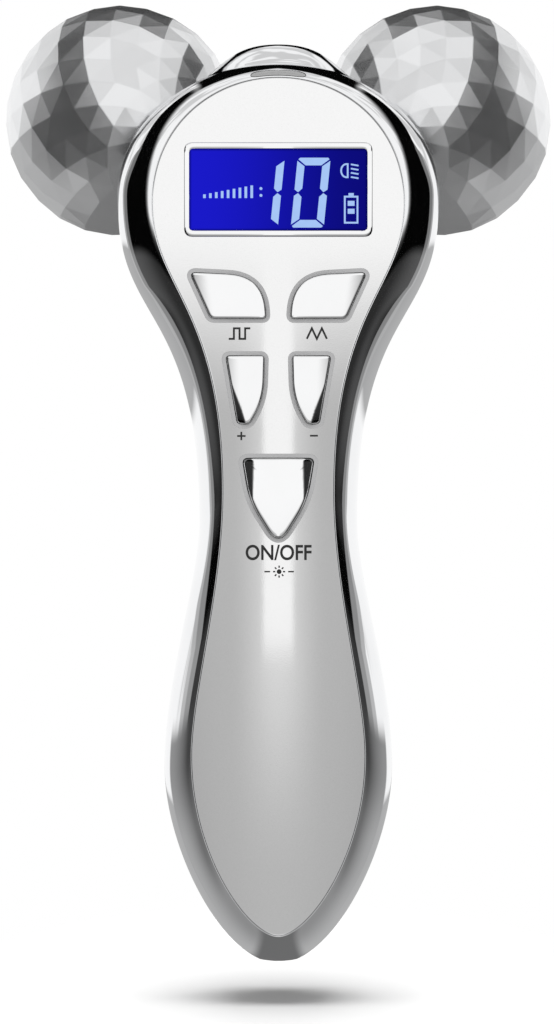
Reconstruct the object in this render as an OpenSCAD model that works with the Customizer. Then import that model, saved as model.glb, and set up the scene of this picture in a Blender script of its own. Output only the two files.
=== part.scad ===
// Hand-held facial toning device: a slim grip that opens into a round head with a display and
// five keys, and two faceted metal balls that roll on splayed axles behind the head.
// Heights named _z are measured up from the tip of the grip. The origin is the mouth of the
// charging port, which lies port_sink above the tip. The front faces -Y, +X is to the right.

/* [Outline] */
// Full width of the grip at its widest
grip_w = 42.2; // [40:0.5:46]
// Height of the widest point of the grip
grip_z = 35.5; // [33:0.5:39]
// Full width of the neck at its narrowest
neck_w = 30; // [29:0.5:33]
// Height of the narrowest point of the neck
neck_z = 88; // [86:0.5:90]
// Full width of the head at its widest
head_w = 61.2; // [60:0.5:65]
// Height of the widest point of the head
head_z = 146.5; // [145:0.5:148]
// Height of the top of the chrome rim
top_z = 171.1; // [170.5:0.5:174]
// Height of the crown of the back shell above the rim
crown_rise = 4.6; // [3:0.2:6]
// Half the width of that crown
crown_half = 12.5; // [10:0.5:15]

/* [Depth] */
// Distance of the face plate in front of the parting line
front_depth = 12; // [11.5:0.25:13]
// Radius of the face plate's curve across
front_round_x = 180; // [150:10:400]
// Radius of the face plate's curve along the device
front_round_z = 1150; // [1000:50:2000]
// Depth of the back shell behind the parting line at the grip
back_grip = 14; // [14:0.25:16]
// Depth of the back shell at the neck
back_neck = 11; // [11:0.25:13]
// Depth of the back shell at the head
back_head = 13.5; // [13.5:0.25:15]

/* [Rim and face plate] */
// Width of the chrome rim beside the grip
rim_grip = 4.9; // [4:0.1:5.5]
// Width of the chrome rim beside the neck
rim_neck = 5; // [4.4:0.1:5.4]
// Width of the chrome rim beside the head
rim_head = 6.8; // [6:0.1:7.2]
// Width of the chrome rim at the tip
rim_tip = 5.2; // [4.5:0.1:6]
// Width of the chrome rim at the top
rim_top = 3.1; // [2.8:0.1:3.6]
// Wall of the back shell
wall = 2; // [1.6:0.1:2.4]
// Thickness of the face plate
plate_t = 1.6; // [1.4:0.1:1.8]
// Width of the ledge that carries the face plate
ledge_w = 1.8; // [1.5:0.1:2]
// Thickness of that ledge
ledge_t = 1.2; // [1:0.1:1.4]

/* [Display] */
// Width of the face plate beside the display window
window_side = 6; // [5.6:0.1:7]
// Height of the display window
window_h = 17.8; // [17:0.2:18.4]
// Thickness of the display window
window_t = 0.9; // [0.8:0.05:1]
// Width of the window's frame at its sides
frame_side = 0.9; // [0.7:0.05:1.2]
// Width of the window's frame above and below
frame_edge = 1.1; // [0.8:0.05:1.3]

/* [Keys] */
// Travel of a key
key_travel = 0.45; // [0.3:0.05:0.5]
// Height of the keys above the face plate
key_proud = 0.5; // [0.3:0.05:0.8]
// Width of the sunk surround about each key
surround_w = 0.85; // [0.7:0.05:0.95]
// Depth of that surround
surround_d = 0.5; // [0.3:0.05:0.7]
// Gap round a key in the face plate
key_gap = 0.12; // [0.1:0.01:0.15]
// Overhang of a key's foot behind the face plate
key_foot = 0.7; // [0.5:0.05:0.75]

/* [Rollers] */
// Diameter of a ball over its corners
ball_d = 44.2; // [43:0.2:44.8]
// Distance from the crossing of the axles to a ball's centre
ball_reach = 57.3; // [57:0.1:58.5]
// Angle of an axle out from straight back
axle_splay = 33.3; // [33:0.1:35]
// Angle of an axle above level
axle_rise = 16.7; // [16:0.1:18]
// Diameter of an axle
axle_d = 5; // [4.6:0.1:5.2]
// Radial running clearance of a bush on its axle
axle_play = 0.03; // [0.02:0.01:0.06]
// Wall of a ball
ball_wall = 2.4; // [2:0.1:3]
// Facets round a ball
facet_n = 20; // [16:2:24]

/* [Battery and port] */
// Diameter of the battery cell
cell_d = 14; // [13:0.1:14.2]
// Length of the battery cell
cell_l = 48.5; // [44:0.5:49]
// Radius of the charging port's mouth
port_r = 2.7; // [2.5:0.05:2.8]
// Depth of the charging port's mouth
port_depth = 2; // [1.8:0.1:2.4]
// Depth of the port's mouth above the tip
port_sink = 1; // [0.8:0.1:1.2]

/* [Hidden] */
$fn = 48;
seg_n = 10;                  // points on each of the outline's four curves, per side
fit_gap = 0.1;               // between pieces that are set into each other
face_gap = 0.05;             // between faces that lie on each other
cut_y = -20;                 // start and depth of what is cut through the face plate
cut_depth = 18;
chrome = [0.85, 0.86, 0.88];
silver = [0.78, 0.78, 0.8];
black_plastic = [0.12, 0.12, 0.13];
white_plastic = [0.92, 0.92, 0.9];
board_green = [0.1, 0.35, 0.2];
steel = [0.7, 0.71, 0.73];

// ---- outlines, as points [across, up] ----

// A cubic curve from a to d, without its last point
function curve(a, b, c, d) = [for (i = [0:seg_n - 1]) let (t = i / seg_n, u = 1 - t)
    u * u * u * a + 3 * u * u * t * b + 3 * u * t * t * c + t * t * t * d];

// The right half from the tip to the top through grip, neck and head, with each curve's handles
// as shares of its span
function half_outline(tip, grip, neck, head, top, pull) = concat(
    curve([0, tip], [pull[0] * grip.x, tip], [grip.x, grip.y - pull[1] * (grip.y - tip)], grip),
    curve(grip, [grip.x, grip.y + pull[2] * (neck.y - grip.y)],
        [neck.x, neck.y - pull[3] * (neck.y - grip.y)], neck),
    curve(neck, [neck.x, neck.y + pull[4] * (head.y - neck.y)],
        [head.x, head.y - pull[5] * (head.y - neck.y)], head),
    curve(head, [head.x, head.y + pull[6] * (top - head.y)], [pull[7] * head.x, top], [0, top]),
    [[0, top]]);

// Both halves as one loop, up the right side and down the left
function loop(half) = concat(half, [for (i = [len(half) - 2:-1:1]) [-half[i].x, half[i].y]]);

// A loop moved inwards
function inset(p, d) = [for (i = [0:len(p) - 1])
    let (a = p[(i + len(p) - 1) % len(p)], b = p[(i + 1) % len(p)], t = (b - a) / norm(b - a))
    p[i] + d * [-t.y, t.x]];

// A loop part of the way from one loop to another
function mix(a, b, share) = [for (i = [0:len(a) - 1]) a[i] * (1 - share) + b[i] * share];

plate_grip_z = grip_z + 3;
plate_neck_z = neck_z + 2.5;
plate_head_z = head_z - 2;
plate_top_z = top_z - rim_top;
plate_head_w = head_w - 2 * rim_head;
body_half = half_outline(0, [grip_w / 2, grip_z], [neck_w / 2, neck_z], [head_w / 2, head_z], top_z,
    [0.45, 0.41, 0.41, 0.37, 0.487, 0.342, 0.55, 0.507]);
plate_half = half_outline(rim_tip, [grip_w / 2 - rim_grip, plate_grip_z],
    [neck_w / 2 - rim_neck, plate_neck_z], [plate_head_w / 2, plate_head_z], plate_top_z,
    [0.34, 0.525, 0.337, 0.327, 0.426, 0.222, 0.53, 0.588]);
body_loop = loop(body_half);
plate_loop = loop(plate_half);

// ---- surfaces ----

seam = 0.1;                  // parting gap between the rim and the back shell
round_x = 0.85;              // how square the back shell is across
round_y = 0.9;               // how square it is in depth
low_spine = 14;              // how far the tip's rounding reaches up
low_reach = 40;
high_spine = 12;             // how far the top's rounding reaches down
high_reach = 30;
grip_spread = 36;            // reach of the grip's swell along the back
head_spread = 26;            // reach of the head's swell along the back
mid_z = 90;                  // height at which the face plate stands furthest forward

function front_y(x, z) = -front_depth + x * x / (2 * front_round_x)
    + pow(z - mid_z, 2) / (2 * front_round_z);
function swell(z, z0, spread) = exp(-pow((z - z0) / spread, 2));
function back_y(z) = back_neck + (back_grip - back_neck) * swell(z, grip_z, grip_spread)
    + (back_head - back_neck) * swell(z, head_z, head_spread);
function spine_z(z) = z + low_spine * pow(max(0, 1 - z / low_reach), 2)
    - high_spine * pow(max(0, 1 - (top_z - z) / high_reach), 2);
function crown(p, y) = p.y < head_z ? 0
    : crown_rise * pow(max(0, 1 - pow(p.x / crown_half, 2)), 1.5) * min(1, (y - seam) / 5);

// A ring round the back shell, at an angle of 0 on the parting line and 90 on the spine
function back_ring(base, cut, raised, angle) = [for (p = base)
    let (zs = spine_z(p.y), c = pow(cos(angle), round_x),
        y = seam + (back_y(zs) - cut - seam) * pow(sin(angle), round_y), lift = raised ? crown(p, y) : 0)
    [p.x * c, y, zs + (p.y + lift - zs) * c]];

// Depth of the back shell's outer face behind a point, between the tip's and the top's rounding
width_at = [for (p = body_half) [p.y, p.x]];
function shell_y(x, z) = let (c = pow(min(1, abs(x) / lookup(z, width_at)), 1 / round_x))
    seam + (back_y(z) - seam) * pow(sin(acos(c)), round_y);

// A loop on the face plate's surface, set back by d
function on_front(p, d) = [for (q = p) [q.x, front_y(q.x, q.y) + d, q.y]];
function to_spine(p, share) = mix(p, [for (q = p) [0, spine_z(q.y)]], share);

// ---- solids from rings ----

// A skin through rings of equal count; an open one is closed across its first and last ring
module loft(rings, closed = false) {
    n = len(rings[0]);
    m = len(rings);
    h = n / 2;
    sides = [for (k = [0:closed ? m - 1 : m - 2], i = [0:n - 1])
        let (e = ((k + 1) % m) * n, j = (i + 1) % n, a = k * n + i, b = k * n + j, c = e + j, d = e + i)
        each [[a, b, c], [a, c, d]]];
    rungs = [[0, 1, n - 1], for (i = [1:h - 2]) [i, i + 1, n - i - 1, n - i], [h - 1, h, h + 1]];
    start = [for (f = rungs) [for (i = [len(f) - 1:-1:0]) f[i]]];
    end = [for (f = rungs) [for (i = f) i + (m - 1) * n]];
    polyhedron([for (r = rings) each r], closed ? sides : concat(sides, start, end), 8);
}

// A tube through rings that turn to the left as seen from its far end
module tube(rings) {
    n = len(rings[0]);
    m = len(rings);
    sides = [for (k = [0:m - 2], i = [0:n - 1])
        let (j = (i + 1) % n, a = k * n + i, b = k * n + j, c = b + n, d = a + n)
        each [[a, c, b], [a, d, c]]];
    start = [for (i = [0:n - 1]) i];
    end = [for (i = [n - 1:-1:0]) (m - 1) * n + i];
    polyhedron([for (r = rings) each r], concat(sides, [start, end]), 8);
}

// A slab that follows the face plate's surface from low to high behind it
module front_slab(x, z, low, high, n = 8) {
    xs = [for (i = [0:n]) x[0] + (x[1] - x[0]) * i / n];
    tube([for (k = [0:n]) let (h = z[0] + (z[1] - z[0]) * k / n)
        concat([for (i = [0:n]) [xs[i], front_y(xs[i], h) + low, h]],
            [for (i = [n:-1:0]) [xs[i], front_y(xs[i], h) + high, h]])]);
}

// A round lead along a route
module lead(route, r) {
    n = len(route);
    tube([for (k = [0:n - 1])
        let (d = route[min(k + 1, n - 1)] - route[max(k - 1, 0)], t = d / norm(d),
            u = cross([0, 1, 0], t) / norm(cross([0, 1, 0], t)), v = cross(t, u))
        [for (i = [0:7]) route[k] + r * (cos(45 * i) * u + sin(45 * i) * v)]]);
}

// Children drawn flat as [across, up], made solid from y back to y + depth
module upright(y, depth) {
    translate([0, y + depth, 0]) rotate([90, 0, 0]) linear_extrude(depth) children();
}
module rod(x, z, r, y, depth) {
    upright(y, depth) translate([x, z]) circle(r);
}
module pair() {
    children();
    mirror([1, 0, 0]) children();
}
module seated() {
    translate([0, 0, -port_sink]) children();
}

// A flat shape with rounded corners, each given as [across, up, radius]
module rounded(corners) {
    n = len(corners);
    polygon([for (i = [0:n - 1])
        let (p = [corners[i].x, corners[i].y], q = corners[(i + n - 1) % n], s = corners[(i + 1) % n],
            a = [q.x, q.y] - p, b = [s.x, s.y] - p, ua = a / norm(a), ub = b / norm(b),
            half = acos(ua * ub) / 2, back = corners[i].z / tan(half))
        for (k = [0:5]) let (t = k / 5, s0 = p + ua * back, s1 = p + ub * back)
        (1 - t) * (1 - t) * s0 + 2 * t * (1 - t) * p + t * t * s1]);
}

// ---- places ----

window_z = plate_head_z + 2.3;
window_w = plate_head_w - 2 * window_side;
upper_key_z = window_z - 24.2;
small_key_z = upper_key_z - 7.2;
power_key_z = small_key_z - 19.5;
upper_key = [[-16.4, 8.7, 0.7], [-6.6, 8.5, 6], [-2.5, 4.4, 3.5], [-2.45, 0, 0.5], [-12.7, 0, 1.2]];
small_key = [[-9.9, 0, 0.6], [-2.5, 0, 0.6], [-2.9, -8, 6], [-5, -12.9, 1.6], [-7.4, -12.6, 0.8]];
power_key = [[-6.7, 0, 1.2], [6.7, 0, 1.2], [5.7, -7.5, 6], [0, -16.8, 2.6], [-5.7, -7.5, 6]];
upper_stem = [-9.5, upper_key_z + 3.9];
small_stem = [-6.2, small_key_z - 5.9];
power_stem = [0, power_key_z - 6.4];
key_spots = [upper_stem, [-upper_stem.x, upper_stem.y], small_stem, [-small_stem.x, small_stem.y],
    power_stem];

plate_back = plate_t + face_gap;      // the face plate's back, behind its front
board_y = -4.6;                       // front of the main board
board_t = 1.2;
board_low_z = neck_z - 8.5;
plunger_y = board_y - 2.6;            // front of the plungers
stem_r = 1.6;
plunger_r = 1.45;
switch_w = 6.2;
switch_t = 2;

lug_r = 2.7;
post_r = 2.6;
screw_r = 0.95;
pilot_r = 1;
head_r = 1.8;
head_t = 1.2;
lug_spots = [[grip_w / 2 - 8.1, grip_z + 0.5], [neck_w / 2 - 6.6, neck_z - 13],
    [head_w / 2 - 8.4, head_z - 5.5]];
lug_back = -0.6;
lug_floor = 2;                        // what a rim screw's head rests on
board_posts = [[neck_w / 2 - 7, neck_z + 13], [head_w / 2 - 13.6, head_z - 13.5]];
board_post_r = 2;

module key_shape(kind) {
    if (kind == 0) translate([0, upper_key_z]) rounded(upper_key);
    if (kind == 1) translate([0, small_key_z]) rounded(small_key);
    if (kind == 2) translate([0, power_key_z]) rounded(power_key);
}
module window_shape(w, h, r) {
    translate([0, window_z])
        rounded([[-w / 2, h / 2, r], [w / 2, h / 2, r], [w / 2, -h / 2, r], [-w / 2, -h / 2, r]]);
}
module all_keys(grow) {
    pair() {
        offset(r = grow) key_shape(0);
        offset(r = grow) key_shape(1);
    }
    offset(r = grow) key_shape(2);
}

// ---- casing ----

lens_near = 0.4;             // the lens's lower edge, outside the face plate
lens_far = 1.5;              // its upper edge
lens_half = 5.2;             // half its width
lens_y = front_y(0, plate_top_z) + 0.7;
lens_t = 1.5;
module lens_strip(grow, y, depth) {
    upright(y, depth) intersection() {
        difference() {
            polygon(inset(plate_loop, -lens_far - grow));
            polygon(inset(plate_loop, -lens_near + grow));
        }
        translate([-lens_half - grow, plate_top_z - rim_top]) square([2 * (lens_half + grow), 2 * rim_top]);
    }
}

slab_x = [-plate_head_w / 2, plate_head_w / 2];
key_slab_z = [power_key_z - 20, upper_key_z + 12];
window_slab_z = [window_z - window_h / 2 - 4, window_z + window_h / 2 + 4];
module front_panel() color(silver) seated() {
    edge = inset(plate_loop, fit_gap);
    shares = [0.94, 0.62, 0.3, 0];
    difference() {
        loft(concat([for (s = shares) on_front(to_spine(edge, s), 0)],
            [for (i = [3:-1:0]) on_front(to_spine(edge, shares[i]), plate_t)]));
        upright(cut_y, cut_depth) all_keys(key_gap);
        intersection() {
            upright(cut_y, cut_depth) all_keys(surround_w);
            front_slab(slab_x, key_slab_z, -3, surround_d, 16);
        }
        upright(cut_y, cut_depth) window_shape(window_w - 2 * frame_side, window_h - 2 * frame_edge, 0.8);
        intersection() {
            upright(cut_y, cut_depth) window_shape(window_w + 2 * fit_gap, window_h + 2 * fit_gap, 1.5);
            front_slab(slab_x, window_slab_z, -3, window_t + face_gap);
        }
    }
}

module chrome_rim() color(chrome) seated() {
    hollow = inset(plate_loop, ledge_w);
    tall = [for (p = plate_loop) front_y(p.x, p.y)];
    ledge = [for (p = hollow) front_y(p.x, p.y) + plate_back];
    arc = [90, 78, 66, 54, 42, 28, 14, 0];
    difference() {
        union() {
            loft(concat(
                [ring_at(mix(body_loop, plate_loop, 0.35), tall, 0, 0)],
                [ring_at(mix(body_loop, plate_loop, 0.45), tall, 0.5, 0)],
                [ring_at(mix(body_loop, plate_loop, 0.75), tall, 1, plate_back + ledge_t)],
                [ring_at(hollow, ledge, 1, ledge_t)],
                [ring_at(hollow, ledge, 1, 0)],
                [ring_at(plate_loop, tall, 1, plate_back)],
                [for (a = arc) ring_at(mix(body_loop, plate_loop, 1 - cos(a)), tall, sin(a), 0)]), true);
            pair() for (p = lug_spots) rod(p.x, p.y, lug_r, lug_y(p), lug_back - lug_y(p));
        }
        pair() for (p = lug_spots) {
            rod(p.x, p.y, head_r + 0.2, cut_y, lug_back - lug_floor - cut_y);
            rod(p.x, p.y, screw_r + 0.15, cut_y, 30);
        }
        translate([0, 0, -1]) cylinder(h = 12, r = jack_r + fit_gap);
        lens_strip(fit_gap, lens_y - 3, 3 + lens_t + face_gap);
    }
}
function ring_at(p, y, share, back) = [for (i = [0:len(p) - 1]) [p[i].x, y[i] * share + back, p[i].y]];
function lug_y(p) = max(front_y(p.x + lug_r, p.y - lug_r), front_y(p.x + lug_r, p.y + lug_r))
    + plate_back + fit_gap;

module back_shell() color(chrome) seated() {
    inner = inset(body_loop, wall);
    difference() {
        union() {
            loft(concat([for (a = [87, 78, 64, 48, 32, 16, 0]) back_ring(inner, wall, false, a)],
                [for (a = [0, 8, 17, 27, 38, 50, 62, 74, 87]) back_ring(body_loop, 0, true, a)]));
            pair() {
                for (p = lug_spots) shell_post(p, post_r, lug_back + face_gap);
                for (p = board_posts) shell_post(p, board_post_r, board_y + board_t + face_gap);
            }
            for (p = bracket_spots) shell_post(p, board_post_r, bracket_back + face_gap);
            for (z = cradle_ribs) cradle_rib(z);
            rod(0, jack_post_z, board_post_r, jack_back, back_y(low_spine) - 0.5 - jack_back);
        }
        pair() {
            for (p = lug_spots) rod(p.x, p.y, pilot_r, -5, 12);
            for (p = board_posts) rod(p.x, p.y, pilot_r, -5, 10);
            axle_line() translate([0, 0, bracket_end - 1]) cylinder(h = 12, r = collar_r + fit_gap);
        }
        for (p = bracket_spots) rod(p.x, p.y, pilot_r, 0, back_head - 1.2);
        translate([0, 0, -1]) cylinder(h = 12, r = jack_r + fit_gap);
        rod(0, lamp_z, lamp_r + fit_gap, 0, 20);
    }
}
module shell_post(p, r, y) {
    rod(p.x, p.y, r, y, min(shell_y(abs(p.x) + r, p.y), back_y(p.y)) - 0.4 - y);
}
module cradle_rib(z) {
    difference() {
        translate([-rib_half, cell_y + cradle_r - 2, z - 0.75])
            cube([2 * rib_half, back_y(z) - 0.9 - cell_y - cradle_r + 2, 1.5]);
        translate([0, cell_y, z - 2]) cylinder(h = 4, r = cradle_r + face_gap);
    }
}

module indicator_lens() color([0.6, 0.62, 0.64]) seated() {
    lens_strip(0, lens_y, lens_t);
}

// ---- display ----

glass_w = window_w + 0.4;
glass_h = window_h + 1.2;
glass_y = front_y(glass_w / 2, window_z + glass_h / 2) + plate_t + 0.15;
glass_t = 1.6;
guide_t = 1;
holder_wall = 1.1;
module display_window() color([0.15, 0.2, 0.75]) seated() {
    intersection() {
        upright(cut_y, cut_depth) window_shape(window_w, window_h, 1.5);
        front_slab(slab_x, window_slab_z, 0, window_t);
    }
}
module display_glass() color([0.1, 0.1, 0.6]) seated() {
    upright(glass_y, glass_t) window_shape(glass_w, glass_h, 0.5);
}
module light_guide() color(white_plastic) seated() {
    upright(glass_y + glass_t + face_gap, guide_t) window_shape(glass_w - 1, glass_h - 1, 0.5);
}
module display_holder() color(black_plastic) seated() {
    front = front_y(plate_head_w / 2, window_z) + plate_back + ledge_t + 0.15;
    inner_w = glass_w + 2 * fit_gap;
    inner_h = glass_h + 2 * fit_gap;
    difference() {
        upright(front, board_y - face_gap - front)
            window_shape(inner_w + 2 * holder_wall, inner_h + 2 * holder_wall, 1);
        upright(front - 1, board_y - front + 2) window_shape(inner_w, inner_h, 0.5);
    }
}

// ---- keys ----

key_foot_y = [front_y(16.4, upper_key_z + 8) + plate_t + 0.1, front_y(9.9, small_key_z) + plate_t + 0.1,
    front_y(6.7, power_key_z) + plate_t + 0.1];
foot_t = 0.9;
key_depth = 6;               // more than the keys reach behind the face plate's front
module key(kind, spot) {
    y = key_foot_y[kind];
    intersection() {
        upright(cut_y, y + fit_gap - cut_y) key_shape(kind);
        front_slab(slab_x, key_slab_z, -key_proud, key_depth, 13);
    }
    upright(y, foot_t) offset(r = key_foot) key_shape(kind);
    rod(spot.x, spot.y, stem_r, y, plunger_y - y - face_gap);
}
module plunger(spot) {
    rod(spot.x, spot.y, plunger_r, plunger_y, 1.2);
}
module key_upper_left() color(chrome) seated() key(0, upper_stem);
module key_upper_right() color(chrome) seated() mirror([1, 0, 0]) key(0, upper_stem);
module key_plus() color(chrome) seated() key(1, small_stem);
module key_minus() color(chrome) seated() mirror([1, 0, 0]) key(1, small_stem);
module key_power() color(chrome) seated() key(2, power_stem);
module plunger_upper_left() color(black_plastic) seated() plunger(key_spots[0]);
module plunger_upper_right() color(black_plastic) seated() plunger(key_spots[1]);
module plunger_plus() color(black_plastic) seated() plunger(key_spots[2]);
module plunger_minus() color(black_plastic) seated() plunger(key_spots[3]);
module plunger_power() color(black_plastic) seated() plunger(key_spots[4]);
module switch_bodies() color(steel) seated() {
    for (p = key_spots) difference() {
        translate([p.x - switch_w / 2, board_y - face_gap - switch_t, p.y - switch_w / 2])
            cube([switch_w, switch_t, switch_w]);
        rod(p.x, p.y, plunger_r + 0.1, plunger_y, 1.2 + key_travel + 0.2);
    }
}

// ---- electronics ----

board_back = board_y + board_t;
module main_board() color(board_green) seated() {
    difference() {
        upright(board_y, board_t) polygon([for (p = inset(plate_loop, 1.2)) if (p.y > board_low_z) p]);
        pair() {
            for (p = board_posts) rod(p.x, p.y, screw_r + 0.15, board_y - 1, board_t + 2);
            for (p = lug_spots) rod(p.x, p.y, lug_r + 0.4, board_y - 1, board_t + 2);
        }
    }
}
module on_board(x, z, w, h, t) {
    translate([x - w / 2, board_back + face_gap, z - h / 2]) cube([w, t, h]);
}
module control_chip() color(black_plastic) seated() on_board(0, small_key_z - 3, 8, 8, 1.2);
module charge_chip() color(black_plastic) seated() on_board(3, neck_z + 2, 5, 4, 1);
module pulse_coil() color([0.45, 0.25, 0.1]) seated() rod(0, upper_key_z + 3, 4, board_back + face_gap, 4);
module storage_capacitor() color([0.2, 0.2, 0.35]) seated() {
    translate([-9, board_back + face_gap + 2.5, upper_key_z - 2]) cylinder(h = 8, r = 2.5);
}
module contact_pins() color([0.85, 0.65, 0.3]) seated() pair() {
    rod(pin_x, pin_z, 0.8, board_back + face_gap, 1.8);
    rod(pin_x, pin_z, 0.5, board_back + face_gap, pin_y - 0.45 - board_back - face_gap);
}

cell_y = 1.5;
cell_z = low_spine + 4.2;
cradle_r = cell_d / 2 + 1.3;
rib_half = 5;
cradle_ribs = [cell_z + 10, cell_z + cell_l - 11];
module battery_cell() color([0.2, 0.4, 0.7]) seated() {
    translate([0, cell_y, cell_z]) {
        cylinder(h = cell_l - 1, r = cell_d / 2);
        cylinder(h = cell_l, r = 2.6);
    }
}
module battery_cradle() color(black_plastic) seated() {
    difference() {
        translate([0, cell_y, cell_z - 1.3]) cylinder(h = cell_l + 2.6, r = cradle_r);
        translate([0, cell_y, cell_z - 0.1]) cylinder(h = cell_l + 0.2, r = cell_d / 2 + 0.1);
        translate([-cradle_r, cell_y - cradle_r, cell_z - 2])
            cube([2 * cradle_r, cradle_r + 2 * fit_gap, cell_l + 4]);
    }
}

jack_r = port_r + 0.7;
jack_l = 11;
jack_board_t = 1;
jack_post_z = 12;
jack_back = jack_r + jack_board_t + 2 * face_gap;
module charging_jack() color(black_plastic) {
    rotate_extrude() polygon([[port_r, 0], [jack_r, 0], [jack_r, jack_l], [0, jack_l],
        [0, port_depth + 1.2], [0.5, port_depth + 1.2], [0.5, jack_l - 1.5], [1.8, jack_l - 1.5],
        [1.8, port_depth], [port_r, port_depth]]);
}
module jack_board() color(board_green) seated() {
    translate([-5, jack_r + face_gap, 6]) cube([10, jack_board_t, 8.5]);
}

// ---- leads ----

lead_r = 0.6;
lead_y = board_back + lead_r + face_gap;
jack_lead_y = jack_r + jack_board_t + lead_r + 2 * face_gap;
side_x = cell_d / 2 + 2.4;            // beside the cell's cradle
neck_lead_x = neck_w / 2 - 10.6;
module battery_leads() color([0.75, 0.1, 0.1]) seated() pair() {
    lead([[2, 2.5, cell_z + cell_l + 2.1], [2.2, 1.2, neck_z - 15], [2.6, -1.2, neck_z - 11],
        [2.8, lead_y, neck_z - 7.5], [2.8, lead_y, neck_z - 5]], lead_r);
}
module jack_leads() color([0.1, 0.1, 0.1]) seated() pair() {
    lead([[4, jack_lead_y, jack_l], [5.9, jack_lead_y, jack_l + 0.6], [7.4, 2.6, jack_l + 2.4],
        [side_x, -0.6, jack_l + 5], [side_x, -1, jack_l + 9], [side_x, -1, cell_z + cell_l - 6],
        [neck_w / 2 - 6.7, -1, cell_z + cell_l + 0.6], [neck_lead_x + 0.2, -1.2, neck_z - 16],
        [neck_lead_x, -1.9, neck_z - 12], [neck_lead_x, lead_y, neck_z - 6]], lead_r);
}
module lamp_leads() color([0.8, 0.7, 0.1]) seated() pair() {
    lead([[2, lead_y, lamp_z - 13], [2, 0, lamp_z - 10], [2, 4.2, lamp_z - 5],
        [1.9, lamp_board_y - 1.4, lamp_z - 3.2],
        [1.9, lamp_board_y - lead_r - face_gap, lamp_z - 2]], lead_r);
}

// ---- axle bracket and lamp ----

cross_y = -11.9;
cross_z = plate_head_z - 0.3;
bracket_start = 16.1;
bracket_end = 25.5;
bracket_r = 5.6;
bracket_front = 6;
bracket_back = 9.6;
lamp_z = cross_z + 4.3;
lamp_r = 4;
lamp_board_y = 8.2;
bracket_spots = [[-9, lamp_z - 6.5], [9, lamp_z - 6.5], [0, lamp_z + 8]];
axle_head = 15;
pin_x = axle_head * cos(axle_rise) * sin(axle_splay);
pin_y = cross_y + axle_head * cos(axle_rise) * cos(axle_splay);
pin_z = cross_z + axle_head * sin(axle_rise);

// Children drawn up the Z axis, laid along the left axle from where the axles cross
module axle_line() {
    translate([0, cross_y, cross_z]) rotate([0, 90 - axle_rise, 90 + axle_splay]) children();
}
module ring_on_axle(from, to, r, bore) {
    translate([0, 0, from]) difference() {
        cylinder(h = to - from, r = r);
        translate([0, 0, -1]) cylinder(h = to - from + 2, r = bore);
    }
}
module axle_bracket() color(black_plastic) seated() {
    difference() {
        union() {
            translate([-12, bracket_front, lamp_z - 9.5]) cube([24, bracket_back - bracket_front, 20]);
            pair() axle_line() translate([0, 0, bracket_start])
                cylinder(h = bracket_end - bracket_start, r = bracket_r);
        }
        pair() axle_line() {
            cylinder(h = bracket_end + 1, r = axle_d / 2 + face_gap);
            cylinder(h = bracket_start, r = axle_d / 2 + 2);
            translate([0, 0, bracket_end]) cylinder(h = 12, r = collar_r + fit_gap);
        }
        rod(0, lamp_z, lamp_r + 1.15, 0, 20);
        for (p = bracket_spots) rod(p.x, p.y, screw_r + 0.15, 0, 20);
    }
}
module lamp_window() color([0.8, 0.85, 0.9]) seated() {
    y = back_y(lamp_z);
    translate([0, y + 0.3, lamp_z]) rotate([90, 0, 0]) rotate_extrude()
        polygon(concat([[0, 3.3], [lamp_r + 0.8, 3.3], [lamp_r + 0.8, 2.6], [lamp_r, 2.6], [lamp_r, 0.6]],
            [for (a = [30:-10:0]) [lamp_r * sin(3 * a), 0.6 - 0.6 * cos(3 * a)]]));
}
module lamps() color([0.9, 0.9, 0.6]) seated() {
    for (a = [90, 210, 330])
        translate([2.4 * cos(a) - 0.8, lamp_board_y + 1 + face_gap, lamp_z + 2.4 * sin(a) - 0.8])
            cube([1.6, 0.8, 1.6]);
}
module lamp_board() color(board_green) seated() rod(0, lamp_z, lamp_r + 1.05, lamp_board_y, 1);

// ---- rollers ----

facet_step = 11.15;          // angle from one ring of corners on a ball to the next
facet_first = 15.9;
facet_rings = 14;
ball_clear = 1.15;           // between a collar and the ball's inner rim
collar_r = 6;
collar_end = ball_reach - ball_d / 2 * cos(facet_first) - ball_clear;
washer_t = 0.6;
washer_from = collar_end + face_gap;
roller_from = washer_from + washer_t + 0.15;
ball_r = ball_d / 2;
core_r = 5.1;
cap_r = 6.6;
bush_r = axle_d / 2 + 1.5;
bush_l = 7;
far_end = ball_reach + ball_r * 0.94;
clip_at = far_end - 5;
clip_t = 0.6;
seat_end = clip_at - 0.6;

module axle() axle_line() {
    difference() {
        union() {
            translate([0, 0, axle_head + 1.05]) cylinder(h = clip_at + 2 - axle_head, r = axle_d / 2);
            translate([0, 0, axle_head]) cylinder(h = 1.05, r = axle_d / 2 + 1.5);
        }
        ring_on_axle(clip_at, clip_at + clip_t, axle_d, axle_d / 2 - 0.6);
    }
}
module collar() axle_line() {
    bore = axle_d / 2 + 0.1;
    lip = collar_r + 0.9;
    rotate_extrude() polygon([[bore, bracket_end + face_gap], [collar_r, bracket_end + face_gap],
        [collar_r, collar_end - 3.4], [lip, collar_end - 2.6], [lip, collar_end - 1.8],
        [collar_r - 0.8, collar_end], [bore, collar_end]]);
}
module washer() axle_line() {
    ring_on_axle(washer_from, washer_from + washer_t, axle_d / 2 + 1.8, axle_d / 2 + 0.1);
}
module bush(from) axle_line() ring_on_axle(from, from + bush_l, bush_r, axle_d / 2 + axle_play);
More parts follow.
